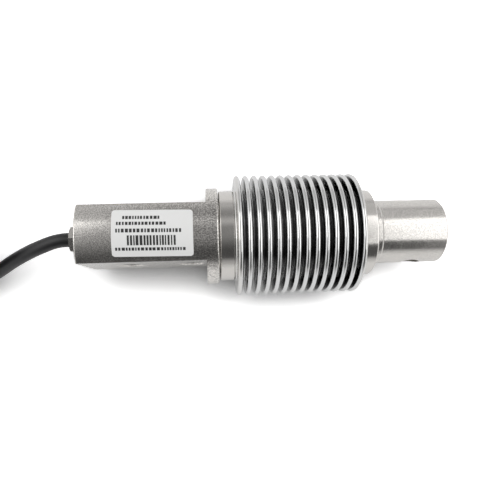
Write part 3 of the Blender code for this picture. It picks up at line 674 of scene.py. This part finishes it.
def turned_steel(name, colour, roughness, line_mm, depth):
    """Turned steel: fine lines round the axis, from noise that changes only along it."""
    material, tree, shader = new_material(name, colour, roughness, 1.0)
    place = add_node(tree, "ShaderNodeTexCoord").outputs["Object"]
    along = add_node(tree, "ShaderNodeSeparateXYZ", {}, {"Vector": place}).outputs["X"]
    lines = add_node(tree, "ShaderNodeTexNoise", {"noise_dimensions": "1D"},
                     {"W": along, "Scale": 1 / (line_mm * MM), "Detail": 3.0})
    cloud = add_node(tree, "ShaderNodeTexNoise", {},
                     {"Vector": place, "Scale": 1 / TURNED_CLOUD, "Detail": 2.0})
    roughen(tree, shader, lines, depth, line_mm * MM / 4, cloud, roughness, STEEL_SWING)
    return material


BLASTED = blasted_steel("bead_blasted_stainless", "cdcac6", 0.20, 0.36, 0.45, 0.07)
TURNED = turned_steel("turned_stainless", "cfccc8", 0.16, 0.12, 0.25)
GLAND_STEEL = turned_steel("plain_gland_steel", "bdbab6", 0.25, 0.15, 0.3)
finish_piece(cell_body, BLASTED, ("measuring_body",))

# %% [markdown]
# ## The bellows
# The bellows is one thin tube with fourteen folds. Its outline follows a rule: a square wave
# whose corners are rounded until each crest is a half circle. Geometry Nodes draw that wave
# from a row of points, round it with Fillet Curve, and wrap it round the axis on a grid. The
# same tree makes any bellows from a pitch, two radii and a number of folds.

# %% Bellows sizes
FOLDS = 14
FOLD_PITCH = 2.955 * MM
CREST_WIDTH = 1.6 * MM
CREST_RADIUS = BELLOWS_HIGH.z - AXIS_Z
ROOT_RADIUS = 15.2 * MM
CUFF = 0.45 * MM
SHEET = 0.25 * MM
BELLOWS_SIDES = 128
ROUNDING_STEPS = 5
NEARLY_HALF = 0.4999

# %% Sums of the bellows tree
# Each row is one Math node: the name of its result, its operation, and its values, which are
# numbers, inputs of the tree or earlier results. Four points make a fold: a root corner, two
# crest corners and the next root corner. The skin's grid has a ring for each point of the wave.
BELLOWS_SUMS = [
    ("points", "MULTIPLY_ADD", "Folds", 4.0, 2.0), ("place", "SUBTRACT", "index", 1.0),
    ("fourth", "DIVIDE", "place", 4.0), ("fold", "FLOOR", "fourth"),
    ("passed", "MULTIPLY", "fold", 4.0), ("corner", "SUBTRACT", "place", "passed"),
    ("from middle", "SUBTRACT", "corner", 1.5), ("off middle", "ABSOLUTE", "from middle"),
    ("on crest", "LESS_THAN", "off middle", 1.0), ("past crest", "GREATER_THAN", "corner", 1.5),
    ("fold start", "MULTIPLY_ADD", "fold", "Pitch", "Cuff"),
    ("edge", "MULTIPLY_ADD", "past crest", "Crest width", "fold start"),
    ("not before", "MAXIMUM", "edge", 0.0), ("not past", "MINIMUM", "not before", "Length"),
    ("along", "ADD", "not past", "Start"),
    ("step up", "SUBTRACT", "Crest radius", "Root radius"),
    ("height", "MULTIPLY_ADD", "on crest", "step up", "Root radius"),
    ("crest round", "MULTIPLY", "Crest width", NEARLY_HALF),
    ("valley", "SUBTRACT", "Pitch", "Crest width"),
    ("root round", "MULTIPLY", "valley", NEARLY_HALF),
    ("extra", "SUBTRACT", "crest round", "root round"),
    ("rounding", "MULTIPLY_ADD", "on crest", "extra", "root round"),
    ("columns", "ADD", "Sides", 1.0), ("cell", "ADD", "index", 0.5),
    ("part", "DIVIDE", "cell", "columns"), ("ring", "FLOOR", "part"),
    ("rings before", "MULTIPLY", "ring", "columns"),
    ("column", "SUBTRACT", "index", "rings before"), ("share", "DIVIDE", "column", "Sides"),
    ("turn", "MULTIPLY", "share", math.tau), ("sine", "SINE", "turn"),
    ("cosine", "COSINE", "turn"),
]


# %% Bellows tree
def number_inputs(tree, defaults):
    """Give a geometry tree named number inputs and return its group input's sockets."""
    for name, value in defaults.items():
        kind = "NodeSocketInt" if isinstance(value, int) else "NodeSocketFloat"
        tree.interface.new_socket(name, in_out="INPUT", socket_type=kind).default_value = value
    return add_node(tree, "NodeGroupInput").outputs


def bellows_tree(material):
    """Geometry tree that draws a bellows round the X axis."""
    tree = bpy.data.node_groups.new("bellows_folds", "GeometryNodeTree")
    tree.interface.new_socket("Geometry", in_out="OUTPUT", socket_type="NodeSocketGeometry")
    inputs = number_inputs(tree, {
        "Folds": FOLDS, "Pitch": FOLD_PITCH, "Crest width": CREST_WIDTH, "Start": 0.0,
        "Length": 0.04, "Crest radius": CREST_RADIUS, "Root radius": ROOT_RADIUS, "Cuff": CUFF,
        "Sides": BELLOWS_SIDES, "Rounding steps": ROUNDING_STEPS})
    known = {socket.name: socket for socket in inputs}
    known["index"] = add_node(tree, "GeometryNodeInputIndex").outputs[0]
    for result, operation, *values in BELLOWS_SUMS:
        fields = {number: known.get(value, value) for number, value in enumerate(values)}
        known[result] = add_node(tree, "ShaderNodeMath", {"operation": operation},
                                 fields).outputs[0]
    row = add_node(tree, "GeometryNodeMeshLine", {}, {"Count": known["points"]})
    spot = add_node(tree, "ShaderNodeCombineXYZ", {},
                    {"X": known["along"], "Z": known["height"]})
    wave = add_node(tree, "GeometryNodeSetPosition", {},
                    {"Geometry": row.outputs[0], "Position": spot.outputs[0]})
    curve = add_node(tree, "GeometryNodeMeshToCurve", {}, {"Mesh": wave.outputs[0]})
    fillet = add_node(tree, "GeometryNodeFilletCurve", {"mode": "POLY"},
                      {"Curve": curve.outputs[0], "Count": known["Rounding steps"],
                       "Radius": known["rounding"], "Limit Radius": True})
    outline = fillet.outputs[0]
    count = add_node(tree, "GeometryNodeAttributeDomainSize", {"component": "CURVE"},
                     {"Geometry": outline}).outputs["Point Count"]
    grid = add_node(tree, "GeometryNodeMeshGrid", {},
                    {"Vertices X": count, "Vertices Y": known["columns"]})
    position = add_node(tree, "GeometryNodeInputPosition").outputs[0]
    sample = add_node(tree, "GeometryNodeSampleIndex", {"data_type": "FLOAT_VECTOR"},
                      {"Geometry": outline, "Value": position, "Index": known["ring"]})
    split = add_node(tree, "ShaderNodeSeparateXYZ", {}, {"Vector": sample.outputs[0]})
    across, up = [add_node(tree, "ShaderNodeMath", {"operation": "MULTIPLY"},
                           {0: split.outputs["Z"], 1: known[share]}).outputs[0]
                  for share in ("sine", "cosine")]
    wrapped = add_node(tree, "ShaderNodeCombineXYZ", {},
                       {"X": split.outputs["X"], "Y": across, "Z": up})
    skin = add_node(tree, "GeometryNodeSetPosition", {},
                    {"Geometry": grid.outputs["Mesh"], "Position": wrapped.outputs[0]})
    closed = add_node(tree, "GeometryNodeMergeByDistance", {},
                      {"Geometry": skin.outputs[0], "Distance": 1e-6})
    real = add_node(tree, "GeometryNodeRealizeInstances", {}, {"Geometry": closed.outputs[0]})
    coated = add_node(tree, "GeometryNodeSetMaterial", {},
                      {"Geometry": real.outputs[0], "Material": material})
    add_node(tree, "NodeGroupOutput", {}, {"Geometry": coated.outputs[0]})
    return tree


def grown(name, tree, values):
    """Run a geometry tree with the given inputs and return its result as a plain mesh object."""
    carrier = bpy.data.objects.new(name, bpy.data.meshes.new(name))
    bpy.context.scene.collection.objects.link(carrier)
    step = carrier.modifiers.new("tree", "NODES")
    step.node_group = tree
    for item in tree.interface.items_tree:
        if item.in_out == "INPUT" and item.name in values:
            step[item.identifier] = values[item.name]
    mesh = bpy.data.meshes.new_from_object(
        carrier.evaluated_get(bpy.context.evaluated_depsgraph_get()))
    bpy.data.objects.remove(carrier, do_unlink=True)
    return bpy.data.objects.new(name, mesh)


# %% [markdown]
# A crest is a clean mirror, but the space between two crests is nearly black: the light that
# gets in is lost from wall to wall. A renderer would keep it bright, so shade is painted into
# the colour, which falls off with depth, measured from the axis. The outer sides of the first
# and last fold are open to the room and get no painted shade.

# %% Bellows steel
FIRST_CREST = station(BELLOWS_LOW.x) + CUFF + CREST_WIDTH / 2
LAST_CREST = FIRST_CREST + (FOLDS - 1) * FOLD_PITCH
SHADE_START = 0.4 * MM
# Painted shade between the folds: grey levels by depth share, from the root to the crest.
PAINTED_FOLD_SHADE = [(0.0, 0.40), (0.10, 0.30), (0.30, 0.19), (0.76, 0.17), (0.83, 0.35),
                (0.88, 0.67)]


def set_shades(ramp, shades):
    """Set the stops of a colour ramp to grey levels, as (place, level) in rising order."""
    stops = ramp.color_ramp.elements
    while len(stops) > 1:
        stops.remove(stops[-1])
    for number, (place, level) in enumerate(shades):
        stop = stops.new(place) if number else stops[0]
        stop.position = place
        stop.color = (level, level, level, 1.0)


def folded_steel(name, colour, roughness):
    """Bright drawn sheet, with shade painted between the folds by its distance from the axis."""
    material, tree, shader = new_material(name, colour, roughness, 1.0)
    place = add_node(tree, "ShaderNodeTexCoord").outputs["Object"]
    centred = add_node(tree, "ShaderNodeMapping", {}, {
        "Vector": place, "Location": (-HEAD_FACE, -AXIS_Y, -AXIS_Z)})
    part = add_node(tree, "ShaderNodeSeparateXYZ", {}, {"Vector": centred.outputs[0]})
    across = add_node(tree, "ShaderNodeMath", {"operation": "MULTIPLY"},
                      {0: part.outputs["Y"], 1: part.outputs["Y"]})
    square = add_node(tree, "ShaderNodeMath", {"operation": "MULTIPLY_ADD"},
                      {0: part.outputs["Z"], 1: part.outputs["Z"], 2: across.outputs[0]})
    radius = add_node(tree, "ShaderNodeMath", {"operation": "SQRT"}, {0: square.outputs[0]})
    depth = add_node(tree, "ShaderNodeMapRange", {}, {
        "Value": radius.outputs[0], "From Min": ROOT_RADIUS, "From Max": CREST_RADIUS})
    # Painted shade: the sheet's colour darkens with depth between the folds.
    painted_fold_shade = add_node(tree, "ShaderNodeValToRGB", {}, {"Fac": depth.outputs["Result"]})
    set_shades(painted_fold_shade, PAINTED_FOLD_SHADE)
    past_first = add_node(tree, "ShaderNodeMapRange", {}, {
        "Value": part.outputs["X"], "From Min": FIRST_CREST,
        "From Max": FIRST_CREST + SHADE_START})
    before_last = add_node(tree, "ShaderNodeMapRange", {}, {
        "Value": part.outputs["X"], "From Min": LAST_CREST, "From Max": LAST_CREST - SHADE_START})
    between = add_node(tree, "ShaderNodeMath", {"operation": "MULTIPLY"},
                       {0: past_first.outputs["Result"], 1: before_last.outputs["Result"]})
    tint = add_node(tree, "ShaderNodeMix", {"data_type": "RGBA"}, {
        "Factor": between.outputs[0], "A": linear(colour), "B": painted_fold_shade.outputs["Color"]})
    tree.links.new(tint.outputs["Result"], shader.inputs["Base Color"])
    return material


BRIGHT = folded_steel("bright_bellows_stainless", "d6d5d3", 0.12)

# %% Make the bellows
bellows = grown("bellows_skin", bellows_tree(BRIGHT), {
    "Start": station(BELLOWS_LOW.x), "Length": BELLOWS_HIGH.x - BELLOWS_LOW.x})
bellows.data.transform(AXIS_MOVE)
bm = bmesh.new()
bm.from_mesh(bellows.data)
bm.faces.ensure_lookup_table()
probe = bm.faces[0]
outward = (probe.calc_center_median() - Vector((0, AXIS_Y, AXIS_Z))) * Vector((0, 1, 1))
if probe.normal.dot(outward) < 0:
    bmesh.ops.reverse_faces(bm, faces=bm.faces[:])
bm.to_mesh(bellows.data)
bm.free()
bellows.data.shade_smooth()
finish_piece(bellows, BRIGHT, ("bellows",))
wall = bellows.modifiers.new("sheet", "SOLIDIFY")
wall.thickness = SHEET
wall.offset = -1.0
print("bellows faces", len(bellows.data.polygons))

# %% [markdown]
# ## Rings and gland
# Two turned rings carry the bellows. Their outer edges are rounded off. The cable enters
# through a hollow hexagon screw that presses a rubber seal onto it.

# %% Weld rings
OUTER_EDGE = 0.5
INNER_EDGE = 0.2
PILOT_RADIUS = 14.5
PILOT_LENGTH = 1.2
HEAD_RING_BORE = 11.8
NOSE_RING_BORE = 11.5


def weld_ring(name, node, bore, pilot_right):
    """Turned ring with rounded edges; its pilot enters the bellows."""
    low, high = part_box(node)
    outer = (high.z - low.z) / 2 / MM
    start, end = station(low.x) / MM, station(high.x) / MM
    if pilot_right:
        tip, back, sign = end, start, 1
    else:
        tip, back, sign = start, end, -1
    face = tip - sign * PILOT_LENGTH
    section = [(tip, bore), (tip, PILOT_RADIUS), (face, PILOT_RADIUS),
               *reversed(round_edge(face, outer, INNER_EDGE, sign)),
               *round_edge(back, outer, OUTER_EDGE, -sign), (back, bore)]
    piece = turned(name, millimetres(section))
    return finish_piece(piece, TURNED, (node,))


weld_ring("head_weld_ring", "head_ring", HEAD_RING_BORE, True)
weld_ring("nose_weld_ring", "nose_ring", NOSE_RING_BORE, False)

# %% Gland screw
HEX_ACROSS = 8.0
HEX_EDGE = 0.6
CABLE_BORE = 2.7
NUT_FACE = -0.3
NECK_RADIUS = 3.6
NECK_END = 1.2
HEXAGON_END = 9.0
hex_corner = HEX_ACROSS / 2 / math.cos(math.pi / 6)
outer_face = station(gland_low.x) / MM
screw_blank = turned("gland_nut", millimetres([
    (outer_face, CABLE_BORE), (outer_face, hex_corner - HEX_EDGE),
    (outer_face + HEX_EDGE / 2, hex_corner), (NUT_FACE, hex_corner), (NUT_FACE, NECK_RADIUS),
    (NECK_END, NECK_RADIUS), (NECK_END, CABLE_BORE)]))
hexagon = rod("hexagon", hex_corner, 2 * outer_face, HEXAGON_END, "X", sides=6)
flats_to_sides = Matrix.Rotation(math.pi / 6, 4, "X")
hexagon.data.transform(AXIS_MOVE @ flats_to_sides @ AXIS_MOVE.inverted())
gland_nut = machined(screw_blank, [(hexagon, "INTERSECT")], sharp=20)
finish_piece(gland_nut, GLAND_STEEL, ("gland_screw",))

# %% Gland bush
BUSH_RADIUS = 8.0
BUSH_CHAMFER = 0.3
BUSH_BORE = 3.9
BUSH_END = 5.6
BUSH_LIP = 1.0
bush = turned("gland_bush_turned", millimetres([
    (0, BUSH_BORE), (0, BUSH_RADIUS - BUSH_CHAMFER), (BUSH_CHAMFER, BUSH_RADIUS),
    (BUSH_END, BUSH_RADIUS), (BUSH_END, CABLE_BORE), (BUSH_END - BUSH_LIP, CABLE_BORE),
    (BUSH_END - BUSH_LIP, BUSH_BORE)]))
finish_piece(bush, TURNED, ("gland_bush",))

# %% [markdown]
# ## The nameplate
# A white plate is glued round the top of the head. Its print is left generic: rows of dashes
# where words would be, and a plain field of bars. The plate and each printed mark are bent to
# the head's curve, and the ink stands a hundredth of a millimetre proud.

# %% Shape of the plate
plate_low, plate_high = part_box("nameplate")
PLATE_START = station(plate_low.x) / MM
PLATE_LENGTH = (plate_high.x - plate_low.x) / MM
PLATE_ARC = 14.7
PLATE_CORNER = 1.0
PLATE_OFFSET = -0.6
PLATE_SKEW = -0.017
PLATE_RADIUS = HEAD_RADIUS / MM + 0.22
PLATE_THICKNESS = 0.16
CORNER_STEPS = 8
ARC_STEPS = 40


def bent(along, around, radius):
    """Position on the head's curve: millimetres along, millimetres of arc from the top."""
    skew = PLATE_SKEW * (along - PLATE_START - PLATE_LENGTH / 2)
    angle = (around + PLATE_OFFSET + skew) / (HEAD_RADIUS / MM)
    return AXIS_MOVE @ Vector((along * MM, radius * math.sin(angle) * MM,
                               radius * math.cos(angle) * MM))


def plate_rows():
    """Arc position and half length of each row of the plate."""
    middle = PLATE_ARC / 2 - PLATE_CORNER
    corner_rows = []
    for step in range(CORNER_STEPS + 1):
        angle = math.pi / 2 * step / CORNER_STEPS
        corner_rows.append((middle + PLATE_CORNER * math.cos(angle),
                            PLATE_LENGTH / 2 - PLATE_CORNER + PLATE_CORNER * math.sin(angle)))
    straight = [(middle - 2 * middle * step / ARC_STEPS, PLATE_LENGTH / 2)
                for step in range(1, ARC_STEPS)]
    far_corner = [(-position, length) for position, length in reversed(corner_rows)]
    return corner_rows + straight + far_corner


# %% Make the plate
bm = bmesh.new()
middle = PLATE_START + PLATE_LENGTH / 2
under = PLATE_RADIUS - PLATE_THICKNESS
rows = []
for around, half_length in plate_rows():
    rows.append([bm.verts.new(bent(middle + end * half_length, around, radius))
                 for radius, end in ((PLATE_RADIUS, -1), (PLATE_RADIUS, 1), (under, 1),
                                     (under, -1))])
join_rings(bm, rows)
bm.faces.new(rows[0])
bm.faces.new(rows[-1])
bmesh.ops.recalc_face_normals(bm, faces=bm.faces[:])
PLATE_WHITE = grainy_plastic("printed_polyester_white", "e4e4e3", 0.45, 0.5, 0.05)
plate = bpy.data.objects.new("nameplate_plate", mesh_from("nameplate_plate", bm, 40))
finish_piece(plate, PLATE_WHITE, ("nameplate",))
print("plate", round(PLATE_LENGTH, 1), "by", PLATE_ARC, "mm")

# %% Printed marks
INK_LIFT = 0.012
INK_STEPS = 4
DASH_ROWS = [(3.3, 14.5, 4.75, 1.05), (1.5, 17.1, 2.85, 1.0), (1.3, 21.1, 0.65, 1.15),
             (1.1, 22.6, -4.95, 0.95)]
DASH_WIDTHS = (0.45, 1.0)
DASH_GAPS = (0.24, 0.4)
SHORTEST_DASH = 0.5
BARS_START, BARS_END = 4.7, 19.0
BARS_LOW, BARS_HIGH = -3.8, -0.8
BAR_WIDTHS = (0.42, 0.62, 0.62, 0.85)
BAR_GAPS = (0.28, 0.34, 0.4)
INK = new_material("printed_ink_black", "2a2a2a", 0.5)[0]
marks = random.Random(7)
bm = bmesh.new()


def ink(start, end, low, high):
    """One printed rectangle on the plate, in millimetres from its left end and its middle."""
    columns = []
    for step in range(INK_STEPS + 1):
        around = low + (high - low) * step / INK_STEPS
        columns.append([bm.verts.new(bent(PLATE_START + x, around, PLATE_RADIUS + INK_LIFT))
                        for x in (start, end)])
    for first, second in zip(columns, columns[1:]):
        bm.faces.new((first[0], first[1], second[1], second[0]))


for start, end, middle_row, height in DASH_ROWS:
    along = start
    while along < end - SHORTEST_DASH:
        width = marks.uniform(*DASH_WIDTHS)
        ink(along, min(end, along + width), middle_row - height / 2, middle_row + height / 2)
        along += width + marks.uniform(*DASH_GAPS)
along = BARS_START
while along < BARS_END:
    width = marks.choice(BAR_WIDTHS)
    ink(along, along + width, BARS_LOW, BARS_HIGH)
    along += width + marks.choice(BAR_GAPS)
print("printed marks", len(bm.faces) // INK_STEPS)
print_marks = bpy.data.objects.new("nameplate_print", mesh_from("nameplate_print", bm))
finish_piece(print_marks, INK)

# %% [markdown]
# ## Hidden pieces
# The gauges, wires, board and seal are sealed inside. They keep the solid model's shapes and
# only get a fitting material.

# %% Materials of the hidden pieces
POLYIMIDE = grainy_plastic("polyimide_foil", "b8742c", 0.3, 0.4, 0.1)
BOARD = grainy_plastic("glass_epoxy_board", "1f6b3c", 0.35, 0.3, 0.15)
RESISTOR = grainy_plastic("resistor_ceramic", "2b4a78", 0.4, 0.3, 0.15)
RUBBER = grainy_plastic("moulded_nitrile_rubber", "151515", 0.65, 0.3, 0.4)
hidden = {"strain_gauge": POLYIMIDE, "solder_strip": COPPER, "gauge_wire": COPPER,
          "compensation_board": BOARD, "board_resistor": RESISTOR, "gland_seal": RUBBER,
          "gland_washer": TURNED}
for name, node in frame["nodes"].items():
    for start, material in hidden.items():
        if name.startswith(start):
            node.data.materials.clear()
            node.data.materials.append(material)

# %% [markdown]
# ## The studio
# Steel has no look of its own: it shows the room. The photograph's bands tell what the room
# was. Two long softboxes hang left and right of the camera, turned a little so that the grey
# gap between them widens towards the viewer. The back wall is pale and the viewer's side is
# dark. The table is white and was exposed until it clipped, so only the deepest shadow shows
# on it: Ambient Occlusion darkens the exposed white where the sensor stands close above it.
# Only the camera sees the table so bright, and the steel mirrors it at a strength of one. Low
# views look over the table's edge, so a pale wall stands there.

# %% Table
TABLE_REACH = 6.0
TABLE_EXPOSURE = 2.15
SEEN_SHADE = 1.95
MIRRORED_SHADE = 0.45
CONTACT_REACH = 15.5 * MM


def studio_piece(name, bm, material):
    """A piece of the studio, made from a bmesh and linked to the scene."""
    mesh = bpy.data.meshes.new(name)
    bm.to_mesh(mesh)
    bm.free()
    mesh.materials.append(material)
    piece = bpy.data.objects.new(name, mesh)
    bpy.context.scene.collection.objects.link(piece)
    return piece


white, tree, shader = new_material("white_table", "f6f6f6", 0.8)
shader.inputs["Specular IOR Level"].default_value = 0.0
path = add_node(tree, "ShaderNodeLightPath")
camera_ray = path.outputs["Is Camera Ray"]
open_sky = add_node(tree, "ShaderNodeAmbientOcclusion", {"samples": 16},
                    {"Distance": CONTACT_REACH}).outputs["AO"]
exposure = add_node(tree, "ShaderNodeMath", {"operation": "MULTIPLY_ADD"},
                    {0: camera_ray, 1: TABLE_EXPOSURE - 1.0, 2: 1.0})
depth = add_node(tree, "ShaderNodeMath", {"operation": "MULTIPLY_ADD"},
                 {0: camera_ray, 1: SEEN_SHADE - MIRRORED_SHADE, 2: MIRRORED_SHADE})
shade = add_node(tree, "ShaderNodeMath", {"operation": "POWER"},
                 {0: open_sky, 1: depth.outputs[0]})
level = add_node(tree, "ShaderNodeMath", {"operation": "MULTIPLY"},
                 {0: shade.outputs[0], 1: exposure.outputs[0]})
exposed = add_node(tree, "ShaderNodeBsdfDiffuse", {}, {"Color": level.outputs[0]})
mirrored = add_node(tree, "ShaderNodeMath", {"operation": "MAXIMUM"},
                    {0: path.outputs["Is Glossy Ray"], 1: path.outputs["Is Transmission Ray"]})
in_sight = add_node(tree, "ShaderNodeMath", {"operation": "MAXIMUM"},
                    {0: camera_ray, 1: mirrored.outputs[0]})
seen = add_node(tree, "ShaderNodeMixShader", {}, {"Fac": in_sight.outputs[0]})
tree.links.new(shader.outputs[0], seen.inputs[1])
tree.links.new(exposed.outputs[0], seen.inputs[2])
tree.links.new(seen.outputs[0], tree.nodes["Material Output"].inputs["Surface"])
bm = bmesh.new()
bmesh.ops.create_grid(bm, x_segments=1, y_segments=1, size=TABLE_REACH)
table = studio_piece("table", bm, white)

# %% Backdrop
# A low pale wall stands far off, all round the table, so that a low view has a plain background.
# It looks the same to every ray, so the steel mirrors what the camera sees. It darkens with
# height, down to the level of the room above it.
WALL_DISTANCE = TABLE_REACH
WALL_HEIGHT = 1.3
WALL_FOOT_LEVEL = 0.86
WALL_TOP_LEVEL = 0.42
WALL_SIDES = 96
paper = bpy.data.materials.new("pale_paper_backdrop")
paper.use_nodes = True
tree = paper.node_tree
tree.nodes.remove(tree.nodes["Principled BSDF"])
place = add_node(tree, "ShaderNodeTexCoord").outputs["Object"]
height = add_node(tree, "ShaderNodeSeparateXYZ", {}, {"Vector": place}).outputs["Z"]
level = add_node(tree, "ShaderNodeMapRange", {}, {
    "Value": height, "From Max": WALL_HEIGHT, "To Min": WALL_FOOT_LEVEL,
    "To Max": WALL_TOP_LEVEL}).outputs["Result"]
glow = add_node(tree, "ShaderNodeEmission", {}, {"Color": linear("ffffff"), "Strength": level})
tree.links.new(glow.outputs[0], tree.nodes["Material Output"].inputs["Surface"])
bm = bmesh.new()
turns = [math.tau * step / WALL_SIDES for step in range(WALL_SIDES)]
join_rings(bm, [[bm.verts.new((WALL_DISTANCE * math.cos(turn), WALL_DISTANCE * math.sin(turn),
                               height)) for turn in turns] for height in (WALL_HEIGHT, 0.0)])
backdrop = studio_piece("backdrop", bm, paper)

# %% Softboxes
SOFTBOX_LEVEL = 1.34
SOFTBOX_WIDTH = 0.42


def softbox(name, middle, turn, length):
    """A long lamp that faces the sensor, turned by some degrees."""
    lamp_data = bpy.data.lights.new(name, "AREA")
    lamp_data.shape = "RECTANGLE"
    lamp_data.size = length
    lamp_data.size_y = SOFTBOX_WIDTH
    lamp_data.energy = SOFTBOX_LEVEL * math.pi * SOFTBOX_WIDTH * length
    lamp = bpy.data.objects.new(name, lamp_data)
    aim = (Vector((0, middle[1], AXIS_Z)) - Vector(middle)).to_track_quat("-Z", "Y")
    facing = Matrix.Rotation(math.radians(turn), 4, "Z") @ aim.to_matrix().to_4x4()
    lamp.matrix_world = Matrix.Translation(middle) @ facing
    bpy.context.scene.collection.objects.link(lamp)


softbox("left_softbox", (-0.485, 0.16, 0.67), -11, 0.72)
softbox("right_softbox", (0.475, -0.03, 0.69), 3, 1.12)

# %% Room
# Brightness by direction round the sensor's axis, in degrees from straight up: positive is
# towards the back of the table. The first list holds for the middle and the second for the
# sides. Far to the left and right the room is a white wall.
MIDDLE_BANDS = [(-95, 0.87), (-84, 0.80), (-74, 0.46), (-64, 0.09), (-40, 0.08), (-29, 0.13),
                (-18, 0.21), (-8, 0.27), (14, 0.27), (22, 0.42), (29, 0.60), (37, 0.45),
                (46, 0.26), (58, 0.33), (70, 0.52), (84, 0.78), (95, 0.88)]
SIDE_BANDS = [(-95, 0.80), (-89, 0.30), (-82, 0.09), (-50, 0.08), (-20, 0.30), (20, 0.55),
              (45, 0.68), (60, 0.64), (80, 0.76), (95, 0.88)]
ROOM_WALL_LEVEL = 1.15
SIDES_BLEND = (0.06, 0.26)
WALLS_BLEND = (0.42, 0.62)
world = bpy.data.worlds.new("studio_room")
bpy.context.scene.world = world
world.use_nodes = True
tree = world.node_tree
direction = add_node(tree, "ShaderNodeTexCoord").outputs["Generated"]
split = add_node(tree, "ShaderNodeSeparateXYZ", {}, {"Vector": direction})
angle = add_node(tree, "ShaderNodeMath", {"operation": "ARCTAN2"},
                 {0: split.outputs["Y"], 1: split.outputs["Z"]})
around = add_node(tree, "ShaderNodeMath", {"operation": "MULTIPLY_ADD"},
                  {0: angle.outputs[0], 1: 1 / math.tau, 2: 0.5}).outputs[0]
sideways = add_node(tree, "ShaderNodeMath", {"operation": "ABSOLUTE"},
                    {0: split.outputs["X"]}).outputs[0]
colours = []
for bands in (MIDDLE_BANDS, SIDE_BANDS):
    ramp = add_node(tree, "ShaderNodeValToRGB", {}, {"Fac": around})
    set_shades(ramp, [(degrees / 360 + 0.5, level) for degrees, level in bands])
    colours.append(ramp.outputs["Color"])
room, sides = colours
walls = (ROOM_WALL_LEVEL, ROOM_WALL_LEVEL, ROOM_WALL_LEVEL, 1.0)
for (start, end), beyond in ((SIDES_BLEND, sides), (WALLS_BLEND, walls)):
    share = add_node(tree, "ShaderNodeMapRange", {"interpolation_type": "SMOOTHSTEP"},
                     {"Value": sideways, "From Min": start, "From Max": end})
    room = add_node(tree, "ShaderNodeMix", {"data_type": "RGBA"},
                    {"Factor": share.outputs["Result"], "A": room,
                     "B": beyond}).outputs["Result"]
tree.links.new(room, tree.nodes["Background"].inputs["Color"])

# %% View settings
bpy.context.scene.view_settings.view_transform = "Standard"
